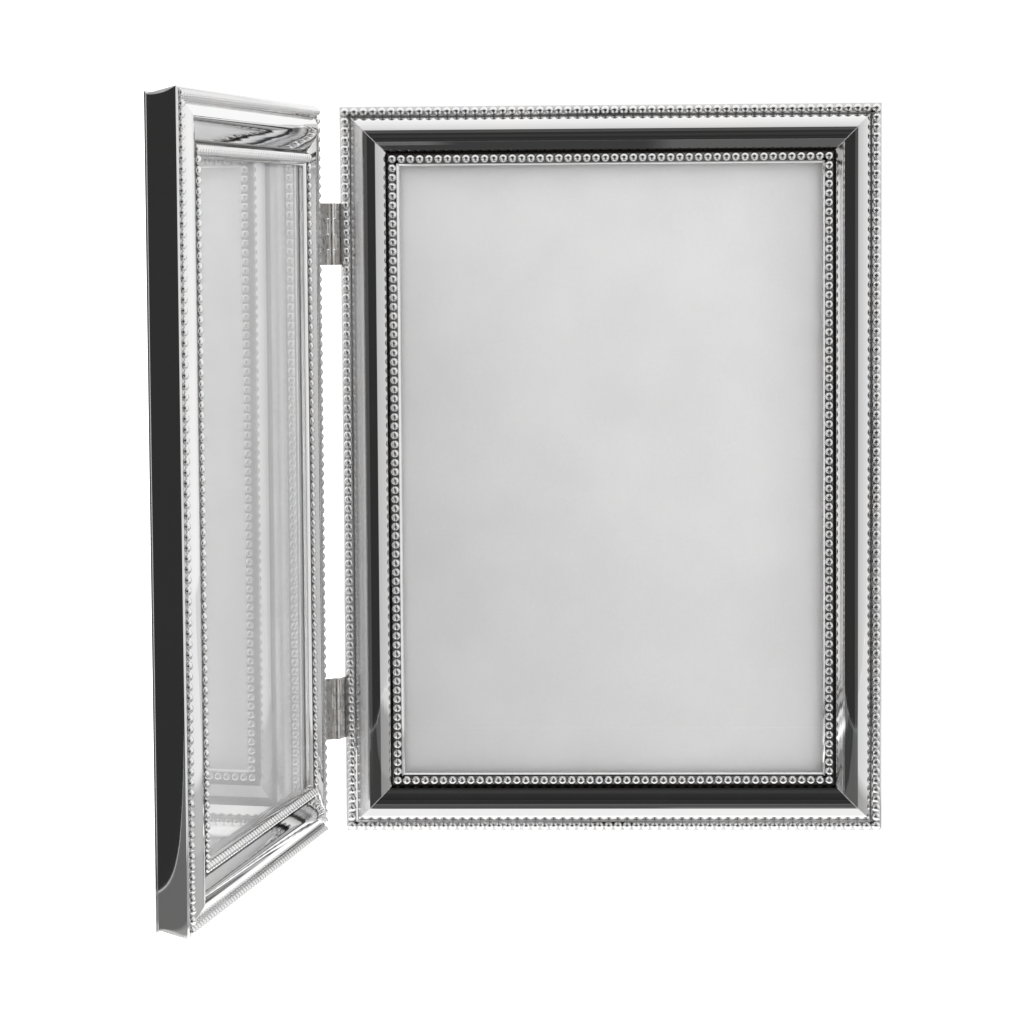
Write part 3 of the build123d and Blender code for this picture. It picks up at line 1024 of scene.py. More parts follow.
@dataclass(frozen=True)
class MouldingRail:
    """One mitred length of moulding.

    Attributes:
        section: The moulding's section.
        seam: How far the eased edge at a mitre reaches, in millimetres.
        seam_drop: How far that edge sinks at the mitre, in millimetres.
        seam_rings: How far back each ring of points stands and how far it sinks, as shares of
            these two, from the mitre inwards.
    """

    section: MouldingSection = MouldingSection()
    seam: float = 0.12
    seam_drop: float = 0.07
    seam_rings: tuple[Point2, ...] = ((0.0, 1.0), (0.4, 0.3), (1.0, 0.0), (1.5, 0.0))

    def build(self, leaf: LeafFrame, side: Side) -> bpy.types.Object:
        """Sweep the section between its mitres and stand it in for the CAD rail.

        Args:
            leaf: The leaf that the rail belongs to.
            side: The side of that leaf.

        Returns:
            The new piece.
        """
        outline = self.section.outline()
        normals = self.outward(outline)
        placer = leaf.along(side)
        half = leaf.length(side) / 2
        rings = [(self.seam * back, self.seam_drop * drop) for back, drop in self.seam_rings]
        stations = [(-1, *ring) for ring in rings] + [(1, *ring) for ring in rings[::-1]]
        points, crevice_shade, satin = [], [], []
        for end, back, drop in stations:
            for (inset, depth), (nx, ny) in zip(outline, normals):
                x, y = inset - nx * drop, depth - ny * drop
                points.append(placer(x, y, end * (half - x - back)))
                crevice_shade.append(self.section.crevice_shade_at(inset, depth, side))
                satin.append(self.section.satin(inset, depth, side))
        count = len(outline)
        faces: list[Sequence[int]] = [list(range(count))[::-1]]
        for ring in range(len(stations) - 1):
            low, high = ring * count, (ring + 1) * count
            for index in range(count):
                after = (index + 1) % count
                faces.append((low + index, low + after, high + after, high + index))
        faces.append(list(range((len(stations) - 1) * count, len(stations) * count)))
        parts = MeshParts()
        parts.add(points, faces, mirrors(placer) != (self.turn(outline) < 0))
        name = f"{leaf.hand.value}_{side.value}_rail"
        # The crevice values paint shade into the rail's grooves.
        made = parts.piece(name + "_polished", MOULDING_SILVER, crevice=crevice_shade, satin=satin)
        for face in (made.data.polygons[0], made.data.polygons[-1]):
            face.use_smooth = False
        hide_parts(name)
        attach(made, leaf.body)
        return made

    @staticmethod
    def turn(outline: list[Point2]) -> float:
        """Twice the outline's signed area, positive where it runs anticlockwise."""
        following = outline[1:] + outline[:1]
        return sum(a[0] * b[1] - b[0] * a[1] for a, b in zip(outline, following))

    def outward(self, outline: list[Point2]) -> list[Point2]:
        """Outward unit normals of the outline's points.

        Args:
            outline: The closed outline.

        Returns:
            A normal for each of its points.
        """
        sign = 1 if self.turn(outline) > 0 else -1
        normals = []
        for before, after in zip(outline[-1:] + outline[:-1], outline[1:] + outline[:1]):
            dx, dy = after[0] - before[0], after[1] - before[1]
            length = math.hypot(dx, dy) or 1.0
            normals.append((sign * dy / length, -sign * dx / length))
        return normals


@dataclass(frozen=True)
class Beading:
    """One row of pressed beads round a leaf, on its domed strip. Sizes are in millimetres.

    Attributes:
        name: The row's part of the CAD node's name.
        inset: Distance of the beads' centres from the leaf's edge.
        rise: Distance of their centres in front of the outer beads' centres.
        radius: Radius of a bead.
        pitch: Spacing aimed at.
        neck: Radius of the string between beads.
        neck_steps: Steps round the string.
        base: Thickness of the strip.
        base_width: Width of the strip.
        base_top: Depth of the middle of the strip's domed face.
        base_foot: Depth of that face's edges.
        base_steps: Steps across that face.
        base_shade: How much painted shade darkens the plating between the beads, from nought to one.
        flatness: Height of a bead as a share of its radius.
        point: Power of the beads' outline, where 2 is round and less is more pointed.
        sides: Steps round a bead.
        rings: Steps from a bead's foot to its top.
        unevenness: Share by which pressing narrows a bead at most.
        flattening: Share by which pressing flattens a bead at most.
        lean: Share of its height by which a bead leans at most.
    """

    name: str
    inset: float
    rise: float
    radius: float = 1.16
    pitch: float = 2.46
    neck: float = 0.3
    neck_steps: int = 6
    base: float = 0.3
    base_width: float = 2.3
    base_top: float = -0.12
    base_foot: float = 0.28
    base_steps: int = 8
    base_shade: float = 0.85
    flatness: float = 0.86
    point: float = 1.95
    sides: int = 24
    rings: int = 10
    unevenness: float = 0.012
    flattening: float = 0.018
    lean: float = 0.048

    def build(self, leaf: LeafFrame) -> bpy.types.Object:
        """Press all four strips of the row and stand them in for the CAD beading.

        Args:
            leaf: The leaf that the row goes round.

        Returns:
            The new piece.
        """
        draw = random.Random(f"{leaf.hand.value} {self.name}")
        parts = MeshParts()
        for side in Side:
            self.add_strip(parts, leaf, side, draw)
        node = f"{leaf.hand.value}_{self.name}_beading"
        # The crevice values paint shade between the beads.
        made = parts.piece(node + "_pressed", BEADING_SILVER, crevice=parts.crevice_shade)
        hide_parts(node)
        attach(made, leaf.body)
        return made

    def add_strip(self, parts: MeshParts, leaf: LeafFrame, side: Side, draw: random.Random) -> None:
        """Add one side's strip, string and beads.

        Args:
            parts: Where the forms are gathered.
            leaf: The leaf that the row goes round.
            side: The side of that leaf.
            draw: Seeded source of the pressing's unevenness.
        """
        placer = leaf.along(side)
        flipped = mirrors(placer)
        span = leaf.length(side) - 2 * self.inset
        steps = round(span / self.pitch)
        pitch = span / steps
        count = steps + 1 if side.level else steps - 1
        half = (count - 1) * pitch / 2
        reach = (span + (self.base_width if side.level else -self.base_width)) / 2
        self.add_base(parts, placer, reach, flipped)
        self.add_string(parts, placer, half, flipped)
        for index in range(count):
            self.add_bead(parts, placer, index * pitch - half, flipped, draw)

    def add_base(self, parts: MeshParts, placer: Placer, reach: float, flipped: bool) -> None:
        """Add the strip, whose face is slightly domed.

        Args:
            parts: Where the forms are gathered.
            placer: The side's placer.
            reach: Half the strip's length.
            flipped: True where the placer mirrors.
        """
        wide, dome = self.base_width / 2, self.base_foot - self.base_top
        section = [(-wide, self.base), (wide, self.base)]
        for step in range(self.base_steps + 1):
            across = 1 - 2 * step / self.base_steps
            section.append((wide * across, self.base_top + dome * across**2))
        self.add_prism(parts, placer, section, reach, flipped)

    def add_string(self, parts: MeshParts, placer: Placer, reach: float, flipped: bool) -> None:
        """Add the half-round string that joins the beads.

        Args:
            parts: Where the forms are gathered.
            placer: The side's placer.
            reach: Half the string's length.
            flipped: True where the placer mirrors.
        """
        section = [(-self.neck, self.base / 2), (self.neck, self.base / 2)]
        for step in range(self.neck_steps + 1):
            angle = math.pi * step / self.neck_steps
            section.append((self.neck * math.cos(angle), -self.neck * math.sin(angle)))
        self.add_prism(parts, placer, section, reach, flipped)

    def add_prism(
        self, parts: MeshParts, placer: Placer, section: list[Point2], reach: float, flipped: bool
    ) -> None:
        """Add a straight bar of a section about the row's line.

        Args:
            parts: Where the forms are gathered.
            placer: The side's placer.
            section: Offsets across and in depth from the beads' centres.
            reach: Half the bar's length.
            flipped: True where the placer mirrors.
        """
        count = len(section)
        points = [placer(self.inset + a, b - self.rise, end * reach) for end in (-1, 1) for a, b in section]
        faces: list[Sequence[int]] = [tuple(range(count)), tuple(range(2 * count - 1, count - 1, -1))]
        for index in range(count):
            after = (index + 1) % count
            faces.append((index, index + count, after + count, after))
        anticlockwise = MouldingRail.turn(section) > 0
        # Painted shade between the beads, on the strip and the string.
        parts.add(points, faces, flipped == anticlockwise, self.base_shade)

    def add_bead(
        self, parts: MeshParts, placer: Placer, run: float, flipped: bool, draw: random.Random
    ) -> None:
        """Add one half-ball bead, sunk a little into its strip.

        Args:
            parts: Where the forms are gathered.
            placer: The side's placer.
            run: The bead's place along the side.
            flipped: True where the placer mirrors.
            draw: Seeded source of the pressing's unevenness.
        """
        across = self.radius * (1 + draw.uniform(-1, 0) * self.unevenness)
        high = self.radius * self.flatness * (1 + draw.uniform(-1, 0) * self.flattening)
        lean_a = draw.uniform(-1, 1) * self.lean
        lean_c = draw.uniform(-1, 1) * self.lean
        foot = self.base / 2
        points = []
        for ring in range(self.rings):
            climb = ring / self.rings * math.pi / 2
            width = across * math.cos(climb) ** (2 / self.point)
            front = high * math.sin(climb) ** (2 / self.point)
            depth = foot if ring == 0 else -front
            for step in range(self.sides):
                angle = math.tau * step / self.sides
                a = width * math.cos(angle) + lean_a * front
                c = width * math.sin(angle) + lean_c * front
                points.append(placer(self.inset + a, depth - self.rise, run + c))
        points.append(placer(self.inset + lean_a * high, -high - self.rise, run + lean_c * high))
        faces: list[Sequence[int]] = [tuple(range(self.sides))]
        for ring in range(self.rings - 1):
            low, up = ring * self.sides, (ring + 1) * self.sides
            for step in range(self.sides):
                after = (step + 1) % self.sides
                faces.append((low + step, up + step, up + after, low + after))
        top, last = self.rings * self.sides, (self.rings - 1) * self.sides
        for step in range(self.sides):
            faces.append((last + step, top, last + (step + 1) % self.sides))
        parts.add(points, faces, flipped)


@dataclass(frozen=True)
class VelvetBacking:
    """The pile fabric glued over the rear of a leaf's back board. Sizes are in millimetres.

    Attributes:
        depth: Depth of its glued face.
        thickness: Thickness of cloth and pile together.
        inset: Distance of its edges from the leaf's edge.
        edge_round: How far its edges roll over.
        edge_fall: Share of the thickness by which they fall there.
        edge_lines: Places of the mesh's lines across a rolled edge, as shares of its width.
        step: Spacing of the mesh's lines.
        pile_relief: How unevenly the pile stands.
        pile_patches: How many patches of leaning pile there are in a millimetre.
    """

    depth: float = 7.75
    thickness: float = 0.6
    inset: float = 8.7
    edge_round: float = 0.4
    edge_fall: float = 0.5
    edge_lines: tuple[float, ...] = (0.0, 0.15, 0.5, 1.0)
    step: float = 2.0
    pile_relief: float = 0.1
    pile_patches: float = 0.35

    def build(self, leaf: LeafFrame) -> bpy.types.Object:
        """Lay the cloth and stand it in for the CAD cover.

        Args:
            leaf: The leaf that it backs.

        Returns:
            The new piece.
        """
        wide = leaf.width - 2 * self.inset
        high = leaf.height - 2 * self.inset
        columns, rows = self.lines(wide), self.lines(high)
        points, faces = [], []
        for rear in (False, True):
            for up in rows:
                for across in columns:
                    points.append(self.spot(leaf, across, up, wide, high, rear))
        row, layer = len(columns), len(columns) * len(rows)
        for j in range(len(rows) - 1):
            for i in range(len(columns) - 1):
                low = j * row + i
                faces.append((low, low + 1, low + row + 1, low + row))
                faces.append(tuple(layer + c for c in (low, low + row, low + row + 1, low + 1)))
        edge = [i for i in range(row)] + [j * row + row - 1 for j in range(1, len(rows))]
        edge += [layer - 1 - i for i in range(1, row)] + [j * row for j in range(len(rows) - 2, 0, -1)]
        for here, after in zip(edge, edge[1:] + edge[:1]):
            faces.append((here, here + layer, after + layer, after))
        parts = MeshParts()
        parts.add(points, faces, leaf.hand is Hand.LEFT)
        node = leaf.hand.value + "_velvet_cover"
        made = parts.piece(node + "_pile", BACK_VELVET)
        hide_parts(node)
        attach(made, leaf.body)
        return made

    def lines(self, span: float) -> list[float]:
        """Places of the mesh's lines over a span, closer where the edges roll over.

        Args:
            span: The span.

        Returns:
            The places, in rising order.
        """
        ends = [self.edge_round * share for share in self.edge_lines]
        middle = span - 2 * self.edge_round
        count = round(middle / self.step)
        inner = [self.edge_round + middle * i / count for i in range(1, count)]
        return ends + inner + [span - end for end in reversed(ends)]

    def spot(
        self, leaf: LeafFrame, across: float, up: float, wide: float, high: float, rear: bool
    ) -> Vector:
        """A point of the cloth's glued face or of its pile.

        Args:
            leaf: The leaf that the cloth backs.
            across: Distance from the cloth's hinge-side edge.
            up: Height above the cloth's lower edge.
            wide: The cloth's width.
            high: The cloth's height.
            rear: True for the pile, false for the glued face.

        Returns:
            The point in metres.
        """
        depth = self.depth
        if rear:
            edge = min(across, wide - across, up, high - up)
            roll = min(edge / self.edge_round, 1.0)
            fall = self.thickness * self.edge_fall * (1 - math.sqrt(max(0.0, 1 - (1 - roll) ** 2)))
            patches = noise.noise(Vector((across, up, 7.0)) * self.pile_patches)
            uneven = patches + 0.5 * noise.noise(Vector((across, up, 1.0)))
            depth += self.thickness - fall - self.pile_relief * (0.5 + 0.5 * uneven) * roll
        return leaf.place(self.inset + across, depth, self.inset + up)


@dataclass
class Leaf:
    """One leaf of the frame: its moulding, beading, glass, insert, board, velvet and buttons.

    Attributes:
        stand: Where the leaf stands.
        rail: What its four rails are made of.
        outer: The row of beads round its rim.
        inner: The row of beads beside the glass.
        velvet: The cloth on its back.
    """

    stand: LeafFrame
    rail: MouldingRail = MouldingRail()
    # The outer row gets lighter painted shade between its beads than the inner row.
    outer: Beading = Beading("outer", 1.65, 0.0, base_shade=0.3)
    inner: Beading = Beading("inner", 14.15, 0.44)
    velvet: VelvetBacking = VelvetBacking()

    def build(self) -> list[bpy.types.Object]:
        """Make the leaf's new pieces.

        Returns:
            The pieces, in the order that they were made.
        """
        made = [self.rail.build(self.stand, side) for side in Side]
        made += [row.build(self.stand) for row in (self.outer, self.inner)]
        made.append(self.velvet.build(self.stand))
        return made

    def dress(self) -> None:
        """Give the leaf's CAD pieces their finishes."""
        hand = self.stand.hand.value
        finishes = {
            "glass_pane": (PANE_GLASS, "picture_glass"),
            "photo_sheet": (INSERT_PAPER, "insert_paper"),
            "spacer_card": (SPACER_CARD, "grey_card"),
            "back_board": (HARDBOARD, "hardboard"),
            "top_turn_button": (BUTTON_LACQUER, "blackened_steel"),
            "bottom_turn_button": (BUTTON_LACQUER, "blackened_steel"),
            "turn_button_washers": (RIVET_STEEL, "steel_rivet"),
            "turn_button_rivets": (RIVET_STEEL, "steel_rivet"),
            "hinge_rivets": (HINGE_NICKEL, "hinge_plate"),
        }
        for part, (finish, slot) in finishes.items():
            dress_node(f"{hand}_{part}", finish)


def dress_node(name: str, finish: Finish) -> None:
    """Give a CAD node its finish.

    Args:
        name: The node.
        finish: Its surface.
    """
    node = frame["nodes"][name]
    for index in range(max(1, len(node.material_slots))):
        if index < len(node.material_slots):
            node.material_slots[index].material = finish.material()
        else:
            node.data.materials.append(finish.material())


@dataclass
class Hinge:
    """One butt hinge: two stamped plates with rolled knuckles, and the pin through them.

    Attributes:
        name: The hinge's part of its nodes' names.
    """

    name: str

    def dress(self) -> None:
        """Give the hinge's CAD pieces their finishes."""
        for plate in ("right_plate", "left_plate"):
            dress_node(f"{self.name}_hinge_{plate}", HINGE_NICKEL)
        dress_node(f"{self.name}_hinge_pin", PIN_STEEL)


@dataclass(frozen=True)
class RoomPicture:
    """The room as the polished silver shows it, by bearing and height in degrees.

    Bearings count from straight ahead of the leaves' faces towards the right. The room is pale
    at the sides and behind. In front stands a dark cross with a disc on its middle, crossed by
    faint lighter lines. Where a field is a pair of places, a shape begins at the first and is
    full from the second.

    Attributes:
        ring: Bearing to either side, and brightness there, of the pale room.
        zenith: Brightness straight overhead.
        zenith_height: Heights between which the room turns to it.
        dark: Brightness of the cross's arms and disc.
        arm_height: Heights, up and down, at which the arms end.
        arm_right: Bearings at which the right arm ends.
        arm_left: Bearings at which the left arm ends.
        disc: Edge of the disc, as shares of the way ahead.
        post_ahead: Share of the way ahead from which the cross's upright shows.
        post_width: Half the upright's width, as shares of the way ahead.
        post_height: Heights, up and down, at which the upright ends.
        lines: Height and brightness of the lines across the upright.
    """

    ring: tuple[Point2, ...] = ((36, 0.46), (47, 0.60), (80, 0.88), (105, 0.97), (125, 0.80), (180, 0.58))
    zenith: float = 1.0
    zenith_height: Point2 = (64.0, 76.0)
    dark: float = 0.03
    arm_height: Point2 = (16.0, 14.0)
    arm_right: Point2 = (42.0, 40.0)
    arm_left: Point2 = (-90.0, -86.0)
    disc: Point2 = (0.8272, 0.8672)
    post_ahead: Point2 = (0.0, 0.05)
    post_width: Point2 = (0.15, 0.13)
    post_height: Point2 = (73.0, 71.0)
    lines: tuple[Point2, ...] = (
        (-60, 0.028), (-44, 0.028), (-42, 0.022), (-40, 0.022), (-37, 0.038), (-31, 0.022), (-22, 0.047),
        (-14, 0.03), (-10.2, 0.03), (-9.6, 0.082), (2, 0.082), (5.5, 0.13), (7.5, 0.12), (9, 0.03),
        (20, 0.03), (22, 0.05), (25, 0.02), (41, 0.028), (44, 0.05), (47, 0.028),
    )

    def tone(self, tree: Tree) -> Node:
        """Build the picture's nodes.

        Args:
            tree: The world's node tree.

        Returns:
            The node with the brightness of a direction.
        """
        way = add_node(tree, "ShaderNodeTexCoord").outputs["Generated"]
        x, y, z = add_node(tree, "ShaderNodeSeparateXYZ", {"Vector": way}).outputs
        ahead = add_node(tree, "ShaderNodeMath", {0: y, 1: -1.0}, operation="MULTIPLY")
        turn = add_node(tree, "ShaderNodeMath", {0: x, 1: ahead}, operation="ARCTAN2")
        climb = add_node(tree, "ShaderNodeMath", {0: z}, operation="ARCSINE")
        bearing, height = (
            add_node(tree, "ShaderNodeMath", {0: angle}, operation="DEGREES") for angle in (turn, climb)
        )
        aside, level, off_middle = (
            add_node(tree, "ShaderNodeMath", {0: value}, operation="ABSOLUTE")
            for value in (bearing, height, x)
        )
        room = brightness_along(tree, aside, 0.0, 180.0, self.ring)
        room = lay_over(tree, room, self.zenith, (height, *self.zenith_height))
        arms = (level, *self.arm_height), (bearing, *self.arm_right), (bearing, *self.arm_left)
        room = lay_over(tree, room, self.dark, *arms)
        room = lay_over(tree, room, self.dark, (ahead, *self.disc))
        lined = brightness_along(tree, height, -90.0, 90.0, self.lines)
        post = (ahead, *self.post_ahead), (off_middle, *self.post_width), (level, *self.post_height)
        return lay_over(tree, room, lined, *post)


@dataclass(frozen=True)
class TableSheet:
    """The table as the silver sees it: pale at the leaves' feet, dark in front, grey further off.

    Sizes are in millimetres, and places count from the hinge pins' axis. Where a field is a
    pair of places, a tone begins at the first and is full from the second.

    Attributes:
        axis: The hinge pins' axis on the table, in metres.
        opening: Angle between the leaves, in radians.
        front: Where the table's front edge lies along Y, from the middle of the frame.
        reach: How far the table reaches on the other sides.
        edge: Width of the light line along the front edge.
        edge_tone: Brightness of that line over the table's.
        dark: Brightness before the leaves.
        grey: Brightness before the right leaf's far part.
        grey_along: Where along the right leaf that begins.
        pale: Brightness beyond the right leaf's end.
        pale_along: Where along the right leaf that begins.
        behind: Brightness behind the leaves.
        behind_off: How far off their faces that begins.
        corner: Brightness beyond the left leaf's end.
        corner_along: Where along the left leaf that begins.
        corner_off: How far off the left leaf's face that begins.
        foot: Brightness at the leaves' feet.
        foot_off: How far off their faces that begins.
        foot_rear: How far off their faces that ends to the rear.
        foot_along: Where along the leaves that ends.
        shine: How strongly the table mirrors the room besides.
    """

    axis: Vector
    opening: float
    front: float = -132.0
    reach: float = 700.0
    edge: float = 2.5
    edge_tone: float = 0.4
    dark: float = 0.035
    grey: float = 0.10
    grey_along: Point2 = (84.0, 92.0)
    pale: float = 0.45
    pale_along: Point2 = (190.0, 220.0)
    behind: float = 0.3
    behind_off: Point2 = (-6.0, -10.0)
    corner: float = 0.13
    corner_along: Point2 = (150.0, 153.0)
    corner_off: Point2 = (40.0, 30.0)
    foot: float = 0.92
    foot_off: Point2 = (12.0, 8.0)
    foot_rear: Point2 = (-10.0, -6.0)
    foot_along: Point2 = (152.0, 150.0)
    shine: float = 0.45

    def corners(self) -> list[Point3]:
        """The table's corners."""
        side, front = self.reach, self.front
        return [(-side, front, 0.0), (side, front, 0.0), (side, side, 0.0), (-side, side, 0.0)]

    def tone(self, tree: Tree) -> Node:
        """Build the nodes of the table's brightness.

        Args:
            tree: The table's node tree.

        Returns:
            The node with the brightness of a place.
        """
        place = add_node(tree, "ShaderNodeTexCoord").outputs["Object"]
        spot = add_node(tree, "ShaderNodeVectorMath", {0: place, 1: self.axis}, operation="SUBTRACT")
        sine, cosine = math.sin(self.opening), math.cos(self.opening)
        ways = ((sine, cosine), (0, -1), (cosine, -sine), (1, 0))
        off_left, off_right, along_left, along_right = (
            add_node(
                tree, "ShaderNodeVectorMath", {0: spot, 1: (x / MM, y / MM, 0)}, operation="DOT_PRODUCT"
            ).outputs["Value"]
            for x, y in ways
        )
        off = add_node(tree, "ShaderNodeMath", {0: off_left, 1: off_right}, operation="MINIMUM")
        along = add_node(tree, "ShaderNodeMath", {0: along_left, 1: along_right}, operation="MAXIMUM")
        tone = lay_over(tree, self.dark, self.grey, (along_right, *self.grey_along))
        tone = lay_over(tree, tone, self.pale, (along_right, *self.pale_along))
        tone = lay_over(tree, tone, self.behind, (off, *self.behind_off))
        corner = (along_left, *self.corner_along), (off_left, *self.corner_off)
        tone = lay_over(tree, tone, self.corner, *corner)
        foot = (off, *self.foot_off), (off, *self.foot_rear), (along, *self.foot_along)
        tone = lay_over(tree, tone, self.foot, *foot)
        y = add_node(tree, "ShaderNodeSeparateXYZ", {"Vector": place}).outputs["Y"]
        before = {0: y, 1: (self.front + self.edge) * MM}
        edge = add_node(tree, "ShaderNodeMath", before, operation="LESS_THAN")
        lit = {0: edge, 1: self.edge_tone, 2: tone}
        return add_node(tree, "ShaderNodeMath", lit, operation="MULTIPLY_ADD")


@dataclass(frozen=True)
class OverheadCard:
    """The pale card over the frame, seen in the upper mouldings. Sizes are in millimetres.

    Attributes:
        height: How far it hangs over the table.
        front: Where its front edge lies along Y.
        back: Where its back edge lies.
        reach: How far it reaches to either side.
        tone_front: Brightness at its front edge.
        tone_back: Brightness from pale_from on.
        pale_from: Where along Y it is at its palest.
        shine: How strongly the card mirrors the room besides.
    """

    height: float = 247.0
    front: float = -14.0
    back: float = 330.0
    reach: float = 420.0
    tone_front: float = 0.6
    tone_back: float = 1.0
    pale_from: float = 50.0
    shine: float = 0.0

    def corners(self) -> list[Point3]:
        """The card's corners."""
        side, front, back, z = self.reach, self.front, self.back, self.height
        return [(-side, front, z), (-side, back, z), (side, back, z), (side, front, z)]

    def tone(self, tree: Tree) -> Node:
        """Brightness of the card, which falls towards its front edge.

        Args:
            tree: The card's node tree.

        Returns:
            The node with the brightness of a place.
        """
        place = add_node(tree, "ShaderNodeTexCoord").outputs["Object"]
        y = add_node(tree, "ShaderNodeSeparateXYZ", {"Vector": place}).outputs["Y"]
        return lay_over(tree, self.tone_front, self.tone_back, (y, self.front * MM, self.pale_from * MM))


@dataclass(frozen=True)
class Lamp:
    """A soft round lamp that reflections don't show.

    Attributes:
        name: The lamp's name.
        spot: Where it hangs, in metres.
        size: Its diameter in metres.
        power: Its power in watts.
        aim: The point that it faces, in metres.
    """

    name: str
    spot: Point3
    size: float
    power: float
    aim: Point3 = (0.0, 0.0, 0.08)

    def hang(self) -> None:
        """Put the lamp in the scene."""
        data = bpy.data.lights.new(self.name, "AREA")
        data.shape = "DISK"
        data.size = self.size
        data.energy = self.power
        lamp = bpy.data.objects.new(self.name, data)
        lamp.location = self.spot
        lamp.rotation_euler = (Vector(self.aim) - lamp.location).to_track_quat("-Z", "Y").to_euler()
        lamp.visible_glossy = False
        bpy.context.scene.collection.objects.link(lamp)


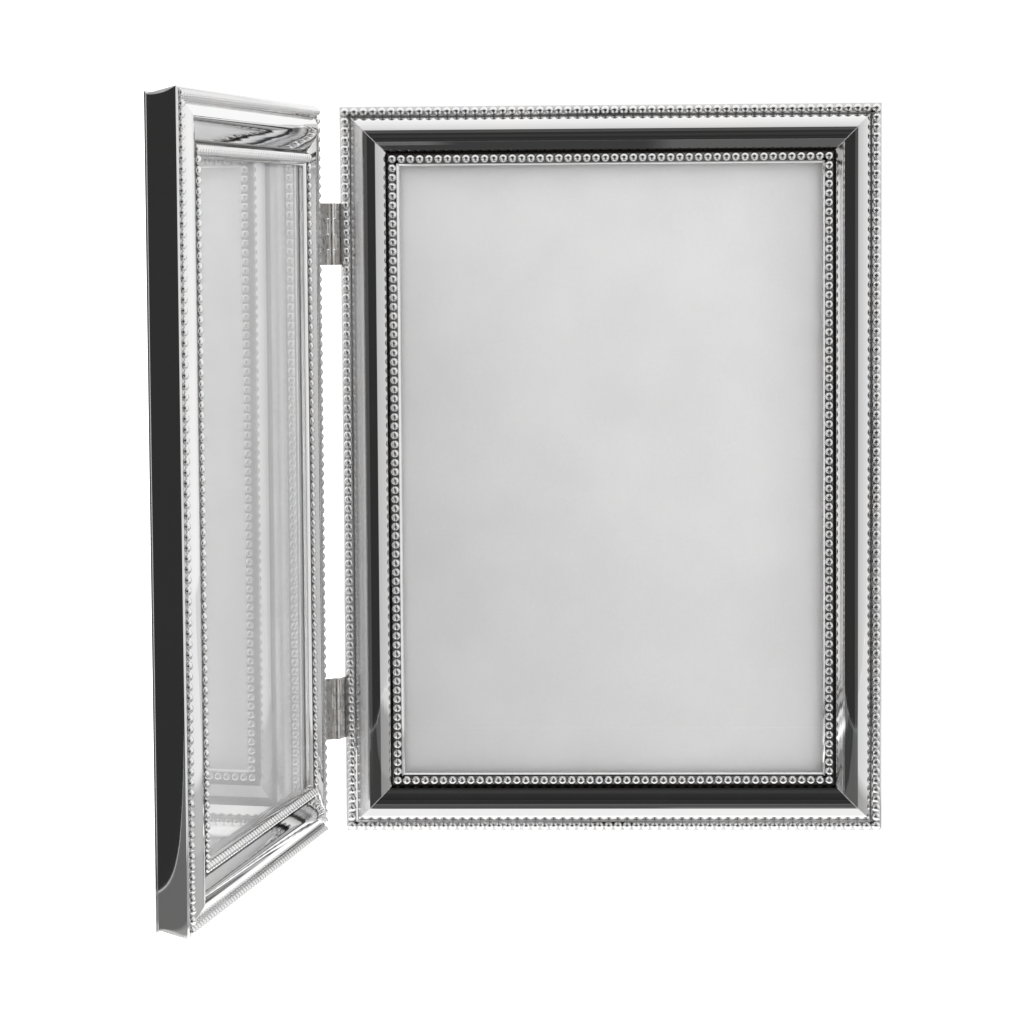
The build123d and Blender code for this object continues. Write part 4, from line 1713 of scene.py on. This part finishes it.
@dataclass
class Studio:
    """The pale floor, the soft light, the lamps and the camera.

    The polished silver shows the room more than it shows itself, so besides them the studio
    has a picture of the room, a table and a card overhead that only reflections see.
    Lengths are in millimetres, angles in degrees.

    Attributes:
        table: The table that reflections see.
        card: The card overhead.
        room: The room that reflections see.
        lamps: The lamps.
        camera_off: Where the camera stands, from the hinge pins' axis on the table.
        camera_yaw: How far it looks to the left.
        camera_pitch: How far it looks up.
        camera_roll: How far it leans.
        lens: Focal length.
        sensor: Width of the sensor.
        view_end: How far the camera sees, in metres.
        floor_reach: How far the floor reaches.
        floor_drop: How far the floor lies below the frame's feet.
        floor_colour: The floor's colour, as sRGB hex.
        floor_roughness: The floor's roughness.
        soft_light: Brightness of the light all round.
        mirror_roughness: Roughness of the staged sheets' shine.
    """

    table: TableSheet
    card: OverheadCard = OverheadCard()
    room: RoomPicture = RoomPicture()
    lamps: tuple[Lamp, ...] = (
        Lamp("key", (-0.55, -0.5, 1.0), 0.9, 3.0),
        Lamp("side_fill", (1.25, -0.1, 0.4), 0.6, 24.0),
    )
    camera_off: Point3 = (85.8, -956.13, 162.5)
    camera_yaw: float = 2.286
    camera_pitch: float = -4.52
    camera_roll: float = -0.40
    lens: float = 126.3
    sensor: float = 36.0
    view_end: float = 100.0
    floor_reach: float = 6000.0
    floor_drop: float = 0.2
    floor_colour: str = "#F8F8F8"
    floor_roughness: float = 0.9
    soft_light: float = 1.8
    mirror_roughness: float = 0.02

    def build(self) -> None:
        """Set up the whole studio."""
        self.stand_camera()
        self.light_world()
        self.lay_floor()
        self.stage_sheet("table", self.table)
        self.stage_sheet("overhead_card", self.card)
        for lamp in self.lamps:
            lamp.hang()
        bpy.context.scene.view_settings.view_transform = "Standard"

    def stand_camera(self) -> None:
        """Stand the camera where the photograph was taken from."""
        turn = Matrix.Rotation(math.radians(self.camera_yaw), 3, "Z")
        turn = turn @ Matrix.Rotation(math.radians(self.camera_pitch), 3, "X")
        roll = math.radians(self.camera_roll)
        ahead, right, up = turn @ Vector((0, 1, 0)), turn @ Vector((1, 0, 0)), turn @ Vector((0, 0, 1))
        right, up = (
            right * math.cos(roll) + up * math.sin(roll),
            up * math.cos(roll) - right * math.sin(roll),
        )
        axes = Matrix((right, up, -ahead)).transposed()
        data = bpy.data.cameras.new("camera")
        data.lens = self.lens
        data.sensor_width = self.sensor
        data.clip_end = self.view_end
        seen = bpy.data.objects.new("camera", data)
        spot = self.table.axis + Vector(self.camera_off) * MM
        seen.matrix_world = Matrix.Translation(spot) @ axes.to_4x4()
        bpy.context.scene.collection.objects.link(seen)
        bpy.context.scene.camera = seen

    def light_world(self) -> None:
        """Pale light all round, with the room that only reflections see."""
        world = bpy.data.worlds.new("studio")
        bpy.context.scene.world = world
        world.use_nodes = True
        tree = world.node_tree
        tree.nodes.clear()
        strengths = (self.soft_light, self.room.tone(tree))
        plain, reflected = (
            add_node(tree, "ShaderNodeBackground", {"Color": grey(1.0), "Strength": strength})
            for strength in strengths
        )
        both = {0: self.first_reflection(tree), 1: plain, 2: reflected}
        add_node(tree, "ShaderNodeOutputWorld", {"Surface": add_node(tree, "ShaderNodeMixShader", both)})

    @staticmethod
    def first_reflection(tree: Tree) -> Node:
        """One for what polished surfaces show, nought for light on matt ones and for the backdrop.

        Args:
            tree: The node tree of the world or of a sheet.

        Returns:
            The node that gives it.
        """
        path = add_node(tree, "ShaderNodeLightPath").outputs
        direct = add_node(tree, "ShaderNodeMath", {0: path["Diffuse Depth"], 1: 0.5}, operation="LESS_THAN")
        return add_node(tree, "ShaderNodeMath", {0: path["Is Glossy Ray"], 1: direct}, operation="MULTIPLY")

    def new_sheet(self, name: str, corners: Sequence[Point3]) -> bpy.types.Object:
        """A flat staged sheet through four corners given in millimetres.

        Args:
            name: The sheet's name.
            corners: The corners, in order round the sheet.

        Returns:
            The new object.
        """
        mesh = bpy.data.meshes.new(name)
        mesh.from_pydata([tuple(c * MM for c in corner) for corner in corners], [], [(0, 1, 2, 3)])
        made = bpy.data.objects.new(name, mesh)
        bpy.context.scene.collection.objects.link(made)
        return made

    def lay_floor(self) -> None:
        """The pale floor, which the camera and the light see and reflections don't."""
        far, low = self.floor_reach, -self.floor_drop
        corners = [(-far, -far, low), (far, -far, low), (far, far, low), (-far, far, low)]
        made = self.new_sheet("floor", corners)
        material = bpy.data.materials.new("studio_floor")
        material.use_nodes = True
        inputs = material.node_tree.nodes["Principled BSDF"].inputs
        inputs["Base Color"].default_value = linear(self.floor_colour)
        inputs["Roughness"].default_value = self.floor_roughness
        made.data.materials.append(material)
        made.visible_glossy = False

    def stage_sheet(self, name: str, seen: TableSheet | OverheadCard) -> None:
        """Add a sheet that only reflections see, and that gives soft light to matt surfaces.

        Args:
            name: The sheet's name.
            seen: What it is in the reflections.
        """
        made = self.new_sheet(name, seen.corners())
        material = bpy.data.materials.new(name)
        material.use_nodes = True
        tree = material.node_tree
        tree.nodes.clear()
        tones = {0: self.first_reflection(tree), 2: self.soft_light, 3: seen.tone(tree)}
        glow = {"Color": grey(1.0), "Strength": add_node(tree, "ShaderNodeMix", tones)}
        mirror = {"Color": grey(seen.shine), "Roughness": self.mirror_roughness}
        both = {
            0: add_node(tree, "ShaderNodeEmission", glow),
            1: add_node(tree, "ShaderNodeBsdfGlossy", mirror),
        }
        add_node(tree, "ShaderNodeOutputMaterial", {"Surface": add_node(tree, "ShaderNodeAddShader", both)})
        material.cycles.emission_sampling = "NONE"
        made.data.materials.append(material)
        made.visible_camera = False
        made.visible_diffuse = False
        made.visible_shadow = False
        made.visible_transmission = False


def main() -> None:
    """Build the studio and every sub-assembly in order, and report each piece."""
    logging.basicConfig(level=logging.INFO, format="%(message)s")
    hinge = next(joint for joint in frame["joints"] if joint["name"] == "leaf_hinge")
    axis = Vector((hinge["pos_m"][0], hinge["pos_m"][1], 0.0))
    opening = math.radians(hinge["range_deg"][1])
    Studio(TableSheet(axis, opening)).build()
    for hand in Hand:
        leaf = Leaf(LeafFrame(hand, axis, opening))
        for piece in leaf.build():
            LOG.info("made %s with %d faces", piece.name, len(piece.data.polygons))
        leaf.dress()
        LOG.info("dressed the %s leaf", hand.value)
    for name in ("upper", "lower"):
        Hinge(name).dress()
        LOG.info("dressed the %s hinge", name)


if __name__ == "__main__":
    main()
